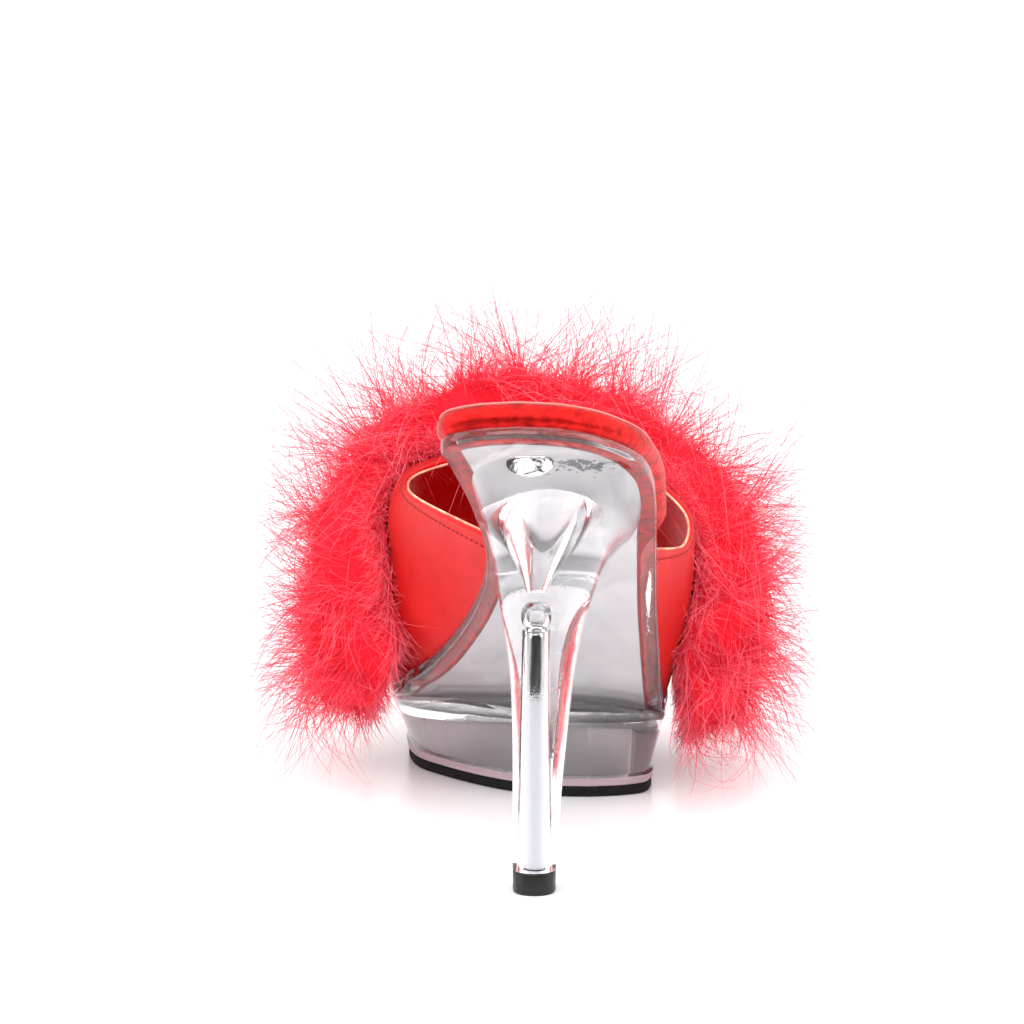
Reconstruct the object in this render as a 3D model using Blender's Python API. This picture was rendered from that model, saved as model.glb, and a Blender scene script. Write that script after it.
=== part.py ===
"""A marabou slipper for the right foot: a mule on a clear platform and a clear stiletto heel.

The frame: +X is the outer side of the foot, +Y the toe, +Z up. The origin lies on the
floor under the middle of the tread. Sizes are in millimetres until a mesh is made.
"""

import bmesh
import bpy
import numpy as np

# The shoe as a whole
LENGTH = 218.0  # back of the seat to the toe, seen from above
BALL = 78.0  # width of the sole at the ball of the foot
PITCH = 101.5  # how far the back of the sole stands above its front
HEEL_TO_TREAD = 160.0 / 218.0  # share of the length behind the middle of the tread

# Layers, from the floor up
OUTSOLE = 2.8
PLATFORM = 16.2
PLATE = 3.4  # the clear sole
BOARD = 1.2  # the silver insole board
SOCK = 6.4  # the padded footbed, at its rim
GAP = 0.3  # between neighbouring pieces
LAID = 0.55  # under a piece that lies on the curve of the sole
SPRING = 2.5  # how far the toe lifts
TAPER = 4.6  # of the platform's sides, from its top edge to its foot
TAPER_BACK = 2.6  # of its slanting back
PLATFORM_WALL = 7.0  # round the pocket in its underside
PLATFORM_ROOF = 3.0
LIP = 2.3  # height of the low foot round the platform
SOFT = 0.7  # rounding of a moulded edge
MARGIN = 5.0  # of clear sole round the insole board
OVERHANG = 0.9  # of the footbed over the edge of the clear sole

# Upper and trim
INSTEP = 74.0  # crown of the band above the sole, straight up
WALL = 1.8  # satin, stiffener and lining together
FLUFF = 22.5  # depth of the down
DROOP = 20.0  # how far the down hangs below the ends of the band

# Heel
LIFT = 5.7  # height of the black top piece
PIN_R = 2.65
PIN_SHARE = 0.54  # top of the pin, as a share of the height of the seat

STAND = OUTSOLE + PLATFORM + PLATE + 2 * GAP  # the sole's upper face above the floor
SEAT = STAND + PITCH

# Rise of the sole's upper face, along the foot
BED = [
    # along, rise
    (-0.01, 1.025),
    (0.046, 0.946),
    (0.092, 0.890),
    (0.138, 0.828),
    (0.183, 0.757),
    (0.229, 0.673),
    (0.275, 0.581),
    (0.321, 0.483),
    (0.367, 0.377),
    (0.413, 0.270),
    (0.450, 0.182),
    (0.485, 0.108),
    (0.520, 0.054),
    (0.560, 0.021),
    (0.610, 0.004),
    (0.670, 0.000),
    (0.800, 0.000),
    (1.050, 0.000),
]

# Edge of the clear sole, as shares of the ball width and of the length
SOLE_INNER = [
    # across, along
    (-0.10, 0.000),
    (-0.22, 0.005),
    (-0.315, 0.018),
    (-0.350, 0.038),
    (-0.338, 0.064),
    (-0.300, 0.128),
    (-0.250, 0.200),
    (-0.212, 0.262),
    (-0.212, 0.312),
    (-0.250, 0.372),
    (-0.318, 0.440),
    (-0.400, 0.510),
    (-0.490, 0.585),
    (-0.545, 0.660),
    (-0.562, 0.735),
    (-0.545, 0.810),
    (-0.490, 0.890),
    (-0.390, 0.958),
    (-0.270, 0.995),
    (-0.190, 1.000),
]
SOLE_OUTER = [
    # across, along
    (-0.10, 0.000),
    (0.04, 0.006),
    (0.180, 0.028),
    (0.285, 0.070),
    (0.340, 0.128),
    (0.360, 0.200),
    (0.366, 0.280),
    (0.374, 0.360),
    (0.392, 0.440),
    (0.412, 0.520),
    (0.430, 0.600),
    (0.438, 0.680),
    (0.420, 0.760),
    (0.365, 0.840),
    (0.260, 0.915),
    (0.110, 0.970),
    (-0.060, 0.997),
    (-0.190, 1.000),
]

# Top edge of the platform: the back of it slants, and the sides follow the sole
BLOCK_INNER = [
    # across, along
    (0.150, 0.508),
    (-0.020, 0.516),
    (-0.225, 0.556),
    (-0.400, 0.608),
    (-0.500, 0.652),
    (-0.545, 0.700),
    (-0.556, 0.750),
    (-0.540, 0.815),
    (-0.485, 0.890),
    (-0.387, 0.955),
    (-0.270, 0.991),
    (-0.190, 0.996),
]
BLOCK_OUTER = [
    # across, along
    (0.150, 0.508),
    (0.270, 0.515),
    (0.370, 0.533),
    (0.418, 0.570),
    (0.430, 0.620),
    (0.434, 0.680),
    (0.416, 0.760),
    (0.361, 0.840),
    (0.257, 0.912),
    (0.110, 0.966),
    (-0.060, 0.993),
    (-0.190, 0.996),
]

# The band, back edge to toe edge. Each edge runs from the inner to the outer side of
# the sole: across, along, and rise over the middle of the sole as a share of the instep.
BAND = [
    # back edge, a topline that dips towards both sides
    [
        (None, 0.262, 0.0),
        (-0.350, 0.326, 0.225),
        (-0.462, 0.398, 0.475),
        (-0.494, 0.448, 0.655),
        (-0.468, 0.484, 0.790),
        (-0.350, 0.506, 0.875),
        (-0.080, 0.518, 0.965),
        (0.235, 0.500, 0.905),
        (0.420, 0.470, 0.700),
        (0.500, 0.435, 0.500),
        (0.475, 0.372, 0.225),
        (None, 0.286, 0.0),
    ],
    # over the instep
    [
        (None, 0.404, 0.0),
        (-0.455, 0.450, 0.355),
        (-0.548, 0.514, 0.660),
        (-0.500, 0.568, 0.855),
        (-0.330, 0.596, 0.925),
        (-0.065, 0.610, 0.935),
        (0.205, 0.596, 0.895),
        (0.405, 0.568, 0.790),
        (0.508, 0.523, 0.610),
        (0.488, 0.450, 0.330),
        (None, 0.395, 0.0),
    ],
    # behind the toes
    [
        (None, 0.541, 0.0),
        (-0.562, 0.560, 0.300),
        (-0.572, 0.606, 0.480),
        (-0.488, 0.660, 0.655),
        (-0.295, 0.688, 0.738),
        (-0.065, 0.697, 0.765),
        (0.180, 0.692, 0.725),
        (0.372, 0.674, 0.615),
        (0.494, 0.633, 0.465),
        (0.494, 0.569, 0.280),
        (None, 0.528, 0.0),
    ],
    # toe edge
    [
        (None, 0.706, 0.0),
        (-0.592, 0.720, 0.145),
        (-0.570, 0.752, 0.285),
        (-0.475, 0.784, 0.420),
        (-0.282, 0.798, 0.500),
        (-0.077, 0.803, 0.525),
        (0.128, 0.798, 0.500),
        (0.300, 0.784, 0.420),
        (0.415, 0.757, 0.300),
        (0.458, 0.716, 0.150),
        (None, 0.679, 0.0),
    ],
]

# The heel, from inside the sole down to its tip. Upper rows lie along the sole (level 0)
# and lower ones lie flat at the given height (level 1). Across and half widths are
# shares of the ball width, heights are shares of the seat's height.
HEEL = [
    # level, height, mid back, mid front, back, front, half back, half front
    (0.00, 0.48, -0.015, 0.080, 0.038, 0.272, 0.290, 0.262),
    (0.10, 0.48, -0.018, 0.070, 0.058, 0.271, 0.250, 0.255),
    (0.20, 0.48, -0.022, 0.055, 0.080, 0.264, 0.216, 0.232),
    (0.40, 0.50, -0.022, 0.030, 0.094, 0.250, 0.182, 0.200),
    (0.65, 0.50, -0.020, 0.005, 0.098, 0.229, 0.154, 0.166),
    (0.85, 0.48, -0.021, -0.012, 0.096, 0.208, 0.130, 0.134),
    (1.00, 0.435, -0.023, -0.020, 0.092, 0.186, 0.106, 0.106),
    (1.00, 0.335, -0.028, -0.027, 0.085, 0.165, 0.093, 0.092),
    (1.00, 0.210, -0.037, -0.037, 0.077, 0.142, 0.082, 0.081),
    (1.00, 0.112, -0.043, -0.043, 0.071, 0.127, 0.076, 0.075),
    (1.00, 0.0482, -0.047, -0.047, 0.0656, 0.1165, 0.0725, 0.0715),
]
PIN_LEAN = (0.010, 0.031)  # of the pin's top: across and along, as shares

# Hollow cone under the seat: across, along, radius as shares of the ball width
CONE_TOP = (0.000, 0.170, 0.140)
CONE_TIP = (-0.036, 0.133, 0.026)
CONE_END = 0.622  # height of its tip, as a share of the seat's height

STATIONS = 38  # cross strips of each sole layer


def smooth(rows, at):
    """Catmull-Rom curve through the rows, read at places between 0 and the last row."""
    rows = np.asarray(rows, float)
    last = len(rows) - 1
    at = np.clip(np.asarray(at, float), 0, last)
    i = np.minimum(at.astype(int), last - 1)
    t = (at - i)[..., None]
    a = rows[np.maximum(i - 1, 0)]
    b, c = rows[i], rows[i + 1]
    d = rows[np.minimum(i + 2, last)]
    return 0.5 * (2 * b + (c - a) * t + (2 * a - 5 * b + 4 * c - d) * t**2 + (3 * b - a - 3 * c + d) * t**3)


def even(rows, count, ends=0.0):
    """Points along a smooth curve at even steps, or closer together near its ends."""
    fine = smooth(rows, np.linspace(0, len(rows) - 1, 40 * len(rows)))
    walked = np.r_[0, np.cumsum(np.linalg.norm(np.diff(fine, axis=0), axis=1))]
    share = np.linspace(0, 1, count)
    share = (1 - ends) * share + ends * (1 - np.cos(np.pi * share)) / 2
    return np.stack([np.interp(share * walked[-1], walked, fine[:, k]) for k in range(fine.shape[1])], axis=1)


def along(share):
    return (np.asarray(share) - HEEL_TO_TREAD) * LENGTH


BED_LINE = even([(along(a), r * PITCH) for a, r in BED], 160)


def middle(y):
    """Height of the sole's upper face over the middle of the shoe."""
    front = np.clip((y - along(0.86)) / (along(1.0) - along(0.86)), 0, 1.2)
    return STAND + np.interp(y, BED_LINE[:, 0], BED_LINE[:, 1]) + SPRING * front**2


def bed_height(x, y):
    """The inner side of the arch starts to rise further forward than the outer side."""
    fade = np.clip((y - along(0.32)) / (along(0.575) - along(0.32)), 0, 1)
    inward = 0.08 * BALL - x
    slant = 0.21 * fade * (inward + np.hypot(inward, 0.2 * BALL))
    return middle(y - slant)


def on_bed(xy, h):
    """Points at the height h over the sole's upper face, measured square to it."""
    x, y = xy[..., 0], xy[..., 1]
    step = 0.5
    dx = (bed_height(x + step, y) - bed_height(x - step, y)) / (2 * step)
    dy = (bed_height(x, y + step) - bed_height(x, y - step)) / (2 * step)
    n = np.stack([-dx, -dy, np.ones_like(dx)], axis=-1)
    n /= np.linalg.norm(n, axis=-1, keepdims=True)
    return np.stack([x, y, bed_height(x, y)], axis=-1) + n * h


def on_floor(xy, z):
    """Points at the height z, lifted with the toe."""
    x, y = xy[..., 0], xy[..., 1]
    front = np.clip((y - along(0.86)) / (along(1.0) - along(0.86)), 0, 1.2)
    return np.stack([x, y, z + SPRING * front**2], axis=-1)


def edge(inner, outer):
    """Both sides of an outline, back to front, as fine lines in millimetres."""
    return np.array([even([(a * BALL, along(b)) for a, b in rows], 400) for rows in (inner, outer)])


def inset(sides, by):
    """The outline moved inwards in plan, by one amount or by one for each point."""
    loop = np.concatenate([sides[0], sides[1][-2:0:-1]])
    turn = np.roll(loop, -1, axis=0) - np.roll(loop, 1, axis=0)
    turn /= np.linalg.norm(turn, axis=1, keepdims=True)
    inward = np.stack([turn[:, 1], -turn[:, 0]], axis=1)
    count = sides.shape[1]
    by = np.broadcast_to(by, sides.shape[:2])
    loop = loop + inward * np.concatenate([by[0], by[1][-2:0:-1]])[:, None]
    inner = loop[:count]
    outer = np.concatenate([loop[:1], loop[count:][::-1], loop[count - 1 : count]])
    return np.array([inner, outer])


def strips(sides, whole):
    """The outline's points at stations that the layers share, closer together at its ends."""
    share = np.linspace(0, 1, STATIONS + 1)
    share = 0.45 * share + 0.55 * (1 - np.cos(np.pi * share)) / 2
    start, end = whole[0, 0, 1], whole[0, -1, 1]
    y = start + (end - start) * share
    y = y + (sides[0, 0, 1] - start) * np.clip(1 - share / 0.12, 0, 1)
    y = y + (sides[0, -1, 1] - end) * np.clip(1 - (1 - share) / 0.12, 0, 1)
    return np.array([np.stack([np.interp(y, np.maximum.accumulate(s[:, 1]), s[:, 0]), y], axis=1) for s in sides])


def object_of(name, points, faces, colour, **surface):
    """One closed body from points in millimetres, its doubled points joined."""
    mesh = bpy.data.meshes.new(name)
    build = bmesh.new()
    corners = [build.verts.new(p) for p in np.asarray(points, float) / 1000]
    for face in faces:
        build.faces.new([corners[i] for i in face])
    bmesh.ops.remove_doubles(build, verts=build.verts, dist=2e-6)
    bmesh.ops.recalc_face_normals(build, faces=build.faces)
    bmesh.ops.triangulate(build, faces=build.faces)
    build.to_mesh(mesh)
    build.free()
    for face in mesh.polygons:
        face.use_smooth = True
    thing = bpy.data.objects.new(name, mesh)
    bpy.context.scene.collection.objects.link(thing)
    material = bpy.data.materials.new(name)
    material.use_nodes = True
    shader = material.node_tree.nodes["Principled BSDF"]
    shader.inputs["Base Color"].default_value = (*colour, 1)
    for socket, value in surface.items():
        shader.inputs[socket.replace("_", " ")].default_value = value
    mesh.materials.append(material)
    return thing


def layer(name, whole, rings, columns, colour, **surface):
    """A sole layer: rings of (outline, placing, height) from its under cap to its upper cap.

    The columns are the quads across a strip, on the under cap and on the upper cap.
    """
    rings = [(strips(sides, whole), place, h) for sides, place, h in rings]
    points, faces = [], []
    count = STATIONS + 1
    loops = []
    for sides, place, h in rings:
        loop = np.concatenate([sides[0], sides[1][-2:0:-1]])
        loops.append(np.arange(len(loop)) + len(points))
        points.extend(place(loop, h))
    size = len(loops[0])
    for low, high in zip(loops, loops[1:]):
        for i in range(size):
            j = (i + 1) % size
            faces.append((low[i], low[j], high[j], high[i]))
    for (sides, place, h), loop, across in ((rings[0], loops[0], columns[0]), (rings[-1], loops[-1], columns[1])):
        grid = np.zeros((count, across + 1), int)
        grid[:, 0] = loop[:count]
        grid[:, -1] = np.concatenate([loop[:1], loop[count:][::-1], loop[count - 1 : count]])
        for k in range(1, across):
            t = k / across
            grid[:, k] = np.arange(count) + len(points)
            points.extend(place(sides[0] * (1 - t) + sides[1] * t, h))
        grid[0], grid[-1] = grid[0, 0], grid[-1, 0]
        for i in range(count - 1):
            for k in range(across):
                quad = (grid[i, k], grid[i, k + 1], grid[i + 1, k + 1], grid[i + 1, k])
                corners = list(dict.fromkeys(int(c) for c in quad))
                if len(corners) > 2:
                    faces.append(corners)
    used = sorted({i for face in faces for i in face})
    place_of = {old: new for new, old in enumerate(used)}
    faces = [tuple(place_of[i] for i in face) for face in faces]
    return object_of(name, np.array(points)[used], faces, colour, **surface)


def tube(name, rings, colour=(0.8, 0.8, 0.8), **surface):
    """Rings of equal length joined from first to last, with both ends closed."""
    rings = np.asarray(rings)
    total, size = rings.shape[:2]
    faces = [tuple(range(size)), tuple(range((total - 1) * size, total * size))]
    for k in range(total - 1):
        for i in range(size):
            j = (i + 1) % size
            faces.append((k * size + i, k * size + j, (k + 1) * size + j, (k + 1) * size + i))
    return object_of(name, rings.reshape(-1, 3), faces, colour, **surface)


def shell(name, outside, inside, colour, **surface):
    """Two grids of points joined round their edges into one hollow-backed wall."""
    rows, cols = outside.shape[:2]
    size = rows * cols
    at = np.arange(size).reshape(rows, cols)
    faces = []
    for i in range(rows - 1):
        for j in range(cols - 1):
            quad = (at[i, j], at[i, j + 1], at[i + 1, j + 1], at[i + 1, j])
            faces.append(quad)
            faces.append(tuple(q + size for q in quad[::-1]))
    rim = list(at[0, :]) + list(at[1:, -1]) + list(at[-1, -2::-1]) + list(at[-2:0:-1, 0])
    for a, b in zip(rim, rim[1:] + rim[:1]):
        faces.append((a, b, b + size, a + size))
    points = np.concatenate([outside.reshape(-1, 3), inside.reshape(-1, 3)])
    return object_of(name, points, faces, colour, **surface)


def combine(target, other, operation):
    """A Boolean with a helper that stays out of the render."""
    change = target.modifiers.new(other.name, "BOOLEAN")
    change.operation, change.solver, change.object = operation, "EXACT", other
    other.hide_render = True
    other.display_type = "WIRE"


def normals_of(grid):
    """Outward directions of a grid of points that arches over the foot."""
    du = np.gradient(grid, axis=1)
    dv = np.gradient(grid, axis=0)
    n = np.cross(du, dv)
    n /= np.linalg.norm(n, axis=-1, keepdims=True)
    middle_row = n[:, n.shape[1] // 2, 2]
    return n if middle_row.mean() > 0 else -n


for thing in list(bpy.data.objects):
    bpy.data.objects.remove(thing, do_unlink=True)

SATIN, CLEAR, SILVER, BLACK = (0.72, 0.012, 0.014), (0.93, 0.94, 0.95), (0.66, 0.66, 0.68), (0.01, 0.01, 0.011)
CLEAR_LOOK = dict(Roughness=0.03, IOR=1.5, Transmission_Weight=1.0)

sole = edge(SOLE_INNER, SOLE_OUTER)
block = edge(BLOCK_INNER, BLOCK_OUTER)

# Platform: tapered sides on a low foot, and a pocket open to the outsole
taper = TAPER + (TAPER_BACK - TAPER) * np.clip((along(0.62) - block[..., 1]) / (0.08 * LENGTH), 0, 1)
base = OUTSOLE + GAP
roof = -PLATE - GAP
layer(
    "outsole",
    block,
    [
        (inset(block, taper + 2 * SOFT), on_floor, 0.0),
        (inset(block, taper + GAP), on_floor, SOFT),
        (inset(block, taper + GAP), on_floor, OUTSOLE),
    ],
    (1, 1),
    BLACK,
    Roughness=0.8,
)
layer(
    "platform",
    block,
    [
        (inset(block, taper + PLATFORM_WALL - SOFT), on_bed, roof - PLATFORM_ROOF),
        (inset(block, taper + PLATFORM_WALL), on_floor, base + LIP),
        (inset(block, taper + PLATFORM_WALL), on_floor, base),
        (inset(block, taper), on_floor, base),
        (inset(block, taper - GAP), on_floor, base + LIP),
        (inset(block, taper + SOFT), on_floor, base + LIP + GAP),
        (inset(block, GAP), on_bed, roof - SOFT),
        (inset(block, SOFT), on_bed, roof),
    ],
    (2, 7),
    CLEAR,
    **CLEAR_LOOK,
)

# Clear sole, with the heel moulded on
plate = layer(
    "sole_heel",
    sole,
    [
        (inset(sole, 1.5 * SOFT), on_bed, -PLATE),
        (inset(sole, 0.3 * SOFT), on_bed, -PLATE + SOFT),
        (inset(sole, 0.0), on_bed, -SOFT),
        (inset(sole, 0.7 * SOFT), on_bed, 0.0),
    ],
    (7, 7),
    CLEAR,
    **CLEAR_LOOK,
)


def heel_ring(row, count=28, square=2.5):
    level, height, mid_back, mid_front, back, front, half_back, half_front = row
    turn = np.linspace(0, 2 * np.pi, count, endpoint=False)
    across = np.sign(np.cos(turn)) * np.abs(np.cos(turn)) ** (2 / square)
    ahead = np.sign(np.sin(turn)) * np.abs(np.sin(turn)) ** (2 / square)
    t = (ahead + 1) / 2
    x = (mid_back * (1 - t) + mid_front * t + across * (half_back * (1 - t) + half_front * t)) * BALL
    y = along(back * (1 - t) + front * t)
    xy = np.stack([x, y], axis=1)
    flat = np.stack([x, y, np.full(count, height * SEAT)], axis=1)
    return on_bed(xy, -0.7 * PLATE) * (1 - level) + flat * level


HEEL_FOOT = LIFT + GAP
heel_rows = smooth(HEEL, np.linspace(0, len(HEEL) - 1, 2 * (len(HEEL) - 1) + 1))
heel_rows[-1, 1] = HEEL_FOOT / SEAT
heel = tube("heel_form", [heel_ring(row, square=2.5 - 0.4 * row[0]) for row in heel_rows])
combine(plate, heel, "UNION")


def circle(centre, radius, count=20):
    turn = np.linspace(0, 2 * np.pi, count, endpoint=False)
    return np.stack([centre[0] + radius * np.cos(turn), centre[1] + radius * np.sin(turn)], axis=1)


top_xy = circle((CONE_TOP[0] * BALL, along(CONE_TOP[1])), CONE_TOP[2] * BALL)
tip_xy = circle((CONE_TIP[0] * BALL, along(CONE_TIP[1])), CONE_TIP[2] * BALL)
cone_top = on_bed(top_xy, 3.0)
cone_tip = np.column_stack([tip_xy, np.full(len(tip_xy), CONE_END * SEAT)])
cone = tube("cone_form", [cone_top * (1 - t) + cone_tip * t for t in (0, 0.25, 0.5, 0.75, 1)])
combine(plate, cone, "DIFFERENCE")

tip_row = HEEL[-1]
TIP_X = (tip_row[2] + tip_row[3]) / 2 * BALL
TIP_Y = along((tip_row[4] + tip_row[5]) / 2)
PIN_TOP = PIN_SHARE * SEAT


def pin_ring(z, radius, count=20):
    t = z / PIN_TOP
    centre = (TIP_X + t * PIN_LEAN[0] * BALL, TIP_Y + t * PIN_LEAN[1] * LENGTH)
    return np.column_stack([circle(centre, radius, count), np.full(count, z)])


bore_r = PIN_R + GAP
bore = [(-2.0, bore_r), (PIN_TOP + GAP, bore_r), (PIN_TOP + 0.8, 0.75 * PIN_R), (PIN_TOP + 2.0, 1.12 * PIN_R)]
bore += [(PIN_TOP + 4.0, 1.22 * PIN_R), (PIN_TOP + 6.2, 1.08 * PIN_R), (PIN_TOP + 7.4, 0.7 * PIN_R)]
combine(plate, tube("bore_form", [pin_ring(z, r) for z, r in bore]), "DIFFERENCE")

tube(
    "heel_pin",
    [pin_ring(z, r) for z, r in [(HEEL_FOOT, PIN_R - 0.4), (HEEL_FOOT + 0.4, PIN_R), (PIN_TOP - 0.5, PIN_R), (PIN_TOP, PIN_R - 0.5)]],
    (0.6, 0.6, 0.61),
    Metallic=1.0,
    Roughness=0.2,
)


def lift_ring(z, scale):
    ring = heel_ring(heel_rows[-1], square=2.1)[:, :2]
    centre = ring.mean(axis=0)
    return np.column_stack([centre + (ring - centre) * scale, np.full(len(ring), z)])


tube("heel_tip", [lift_ring(z, s) for z, s in [(0, 0.92), (0.5, 0.97), (LIFT - 0.5, 0.99), (LIFT, 0.95)]], BLACK, Roughness=0.45)

# Insole board, set in from the edge of the clear sole
layer(
    "insole_board",
    sole,
    [(inset(sole, MARGIN + GAP), on_bed, LAID), (inset(sole, MARGIN + GAP), on_bed, LAID + BOARD)],
    (6, 6),
    SILVER,
    Metallic=0.9,
    Roughness=0.35,
)

# Footbed: it overhangs the seat, and under the band it leaves room for the wall
span = [(BAND[0][0][1], BAND[-1][0][1]), (BAND[0][-1][1], BAND[-1][-1][1])]
room = np.zeros(sole.shape[:2])
for side, (start, end) in enumerate(span):
    y = sole[side][:, 1]
    fade = LENGTH * 0.035
    room[side] = np.clip((y - along(start) + fade + 2) / fade, 0, 1) * np.clip((along(end) + fade + 2 - y) / fade, 0, 1)
room = room * (WALL + OVERHANG + 4 * GAP)
seat_side = np.clip((along(0.33) - sole[..., 1]) / (0.03 * LENGTH), 0, 1) * np.clip((sole[..., 1] - along(0.04)) / (0.12 * LENGTH), 0, 1)
over = OVERHANG * (1 + np.array([0.2, 1.6])[:, None] * seat_side)
bed = LAID
layer(
    "footbed",
    sole,
    [
        (inset(sole, MARGIN), on_bed, bed + BOARD + GAP),
        (inset(sole, MARGIN), on_bed, bed),
        (inset(sole, OVERHANG + room * 0.9), on_bed, bed),
        (inset(sole, room - 0.6 * over), on_bed, bed + 0.14 * SOCK),
        (inset(sole, room - over), on_bed, bed + 0.45 * SOCK),
        (inset(sole, room - 0.6 * over), on_bed, bed + 0.76 * SOCK),
        (inset(sole, room + 0.17 * SOCK), on_bed, bed + 0.95 * SOCK),
        (inset(sole, 0.7 * (room + SOCK)), on_bed, bed + SOCK),
    ],
    (6, 4),
    SATIN,
    Roughness=0.4,
)


FOOT = 1.5 * GAP  # of the wall over the sole's face


def foot_of(side, share):
    """Where the band meets the sole, just inside its edge and clear of its face."""
    line = inset(sole, 0.35)[side]
    y = along(share)
    xy = np.array([np.interp(y, line[:, 1], line[:, 0]), y])
    return on_bed(xy, FOOT)


def band_edge(rows, count):
    points = []
    for k, (a, b, rise) in enumerate(rows):
        if a is None:
            points.append(foot_of(0 if k == 0 else 1, b))
        else:
            y = along(b)
            points.append(np.array([a * BALL, y, middle(y) + rise * INSTEP]))
    return even(points, count)


AROUND, ACROSS = 38, 11
edges = np.array([band_edge(rows, AROUND + 1) for rows in BAND])
flat = edges.reshape(len(BAND), -1)
outside = smooth(flat, np.linspace(0, len(BAND) - 1, ACROSS)).reshape(ACROSS, AROUND + 1, 3)
# Every row of the wall ends on the sole, also between the given edges
for row in outside:
    for side, end in ((0, 0), (1, -1)):
        line = inset(sole, 0.35)[side]
        row[end] = on_bed(np.array([np.interp(row[end][1], line[:, 1], line[:, 0]), row[end][1]]), FOOT)
out = normals_of(outside)
inside = outside - out * WALL
for end in (0, -1):
    # The foot of the wall stays level with the sole's face
    across = out[:, end] * [1, 1, 0]
    across /= np.linalg.norm(across, axis=1, keepdims=True)
    inside[:, end] = outside[:, end] - across * WALL
    inside[:, end, 2] = on_bed(inside[:, end, :2], FOOT)[:, 2]
shell("upper", outside, inside, SATIN, Roughness=0.4)

# Down trim: a thick roll over the front of the band, its locks fused into one body
DOWN_AROUND, DOWN_ACROSS = 48, 15
BARE_CROWN, BARE_SIDES = 0.20, 0.67  # share of the band left bare at its back edge
around = np.linspace(0.060, 0.940, DOWN_AROUND + 1)
ahead = np.linspace(0, 1, DOWN_ACROSS + 1)
wide = smooth(outside.transpose(1, 0, 2).reshape(AROUND + 1, -1), around * AROUND)
wide = wide.reshape(len(around), ACROSS, 3)
skin = []
for u, line in zip(around, wide):
    bare = BARE_CROWN + (BARE_SIDES - BARE_CROWN) * np.abs(2 * u - 1) ** 1.5
    skin.append(smooth(line, (bare + (1 - bare) * ahead) * (ACROSS - 1)))
skin = np.array(skin).transpose(1, 0, 2)
rise = normals_of(skin)
# At the sides the down stands out sideways and leaves the back of the band bare
rise[..., 1] = np.maximum(rise[..., 1], -0.35 * rise[..., 2].clip(0, 1) + 0.05)
rise /= np.linalg.norm(rise, axis=-1, keepdims=True)

seed = np.arange(1, 221)
lock_u = (seed * 0.6180339887) % 1
lock_v = (seed * 0.7548776662) % 1
lock_size = 0.75 + 0.5 * ((seed * 0.5698402910) % 1)
grid_v, grid_u = np.meshgrid(np.linspace(0, 1, len(ahead)), np.linspace(0, 1, len(around)), indexing="ij")
tuft = np.zeros_like(grid_u)
for u0, v0, size in zip(lock_u, lock_v, lock_size):
    far = np.hypot((grid_u - u0) * 6.0, (grid_v - v0) * 2.0)
    tuft = np.maximum(tuft, size * np.clip(1 - far / 0.26, 0, 1))
round_v = np.sqrt(np.clip(1 - (2 * grid_v - 1) ** 2, 0, 1)) ** 0.7
round_u = np.sqrt(np.clip(1 - (2 * grid_u - 1) ** 12, 0, 1)) ** 0.8
depth = FLUFF * (0.07 + (0.12 + 0.88 * round_v) * (0.22 + 0.78 * round_u) * (0.80 + 0.28 * tuft))
hang = DROOP * np.clip((np.abs(2 * grid_u - 1) - 0.70) / 0.30, 0, 1) ** 1.3 * (0.15 + 0.85 * round_v)
fan = np.zeros_like(rise)
crown = np.clip(1 - np.abs(2 * grid_u - 1) / 0.45, 0, 1)
fan[..., 1] = (2 * grid_v - 1) * 9.0 * round_v * np.where(grid_v < 0.5, crown, 1.0)
fan[..., 2] = 9.0 * crown * round_v * (1 - grid_v)
fluff = skin + rise * depth[..., None] + fan
fluff[..., 2] -= hang
shell("marabou", fluff, skin + rise * 2 * GAP, SATIN, Roughness=0.9)
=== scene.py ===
# %% [markdown]
# # A marabou slipper, dressed for the camera
# The object is one high mule for the right foot. A clear moulded sole and stiletto heel stand on a clear
# platform, a padded satin footbed lies on a silver board, and a satin band with a thick roll of down goes
# over the instep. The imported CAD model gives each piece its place. This script gives each piece a finer shape
# and its finish, so every cell works in the same frame: +X is the outer side of the foot, +Y the toe, and the
# floor is at zero.

import math

import bpy
import numpy as np
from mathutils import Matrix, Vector


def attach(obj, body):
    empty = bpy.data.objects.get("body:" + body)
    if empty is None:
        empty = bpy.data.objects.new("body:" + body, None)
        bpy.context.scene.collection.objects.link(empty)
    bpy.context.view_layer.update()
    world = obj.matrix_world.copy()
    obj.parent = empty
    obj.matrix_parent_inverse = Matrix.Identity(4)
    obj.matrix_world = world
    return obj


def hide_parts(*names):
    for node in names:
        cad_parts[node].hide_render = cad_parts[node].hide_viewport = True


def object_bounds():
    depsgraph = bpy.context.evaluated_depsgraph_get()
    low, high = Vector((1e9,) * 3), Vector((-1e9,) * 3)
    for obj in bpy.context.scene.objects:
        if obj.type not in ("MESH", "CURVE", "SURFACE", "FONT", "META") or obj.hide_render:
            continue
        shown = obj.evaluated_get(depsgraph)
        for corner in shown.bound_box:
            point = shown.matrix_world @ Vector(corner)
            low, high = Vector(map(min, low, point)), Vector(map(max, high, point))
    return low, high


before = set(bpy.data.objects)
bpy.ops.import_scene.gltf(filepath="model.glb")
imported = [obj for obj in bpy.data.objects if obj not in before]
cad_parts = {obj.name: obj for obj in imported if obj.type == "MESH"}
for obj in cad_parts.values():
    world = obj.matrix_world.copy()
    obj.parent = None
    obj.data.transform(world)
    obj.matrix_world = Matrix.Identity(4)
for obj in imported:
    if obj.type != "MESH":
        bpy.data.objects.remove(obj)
cad_box = [list(corner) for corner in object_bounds()]
print("CAD nodes:", ", ".join(sorted(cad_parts)))

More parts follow.
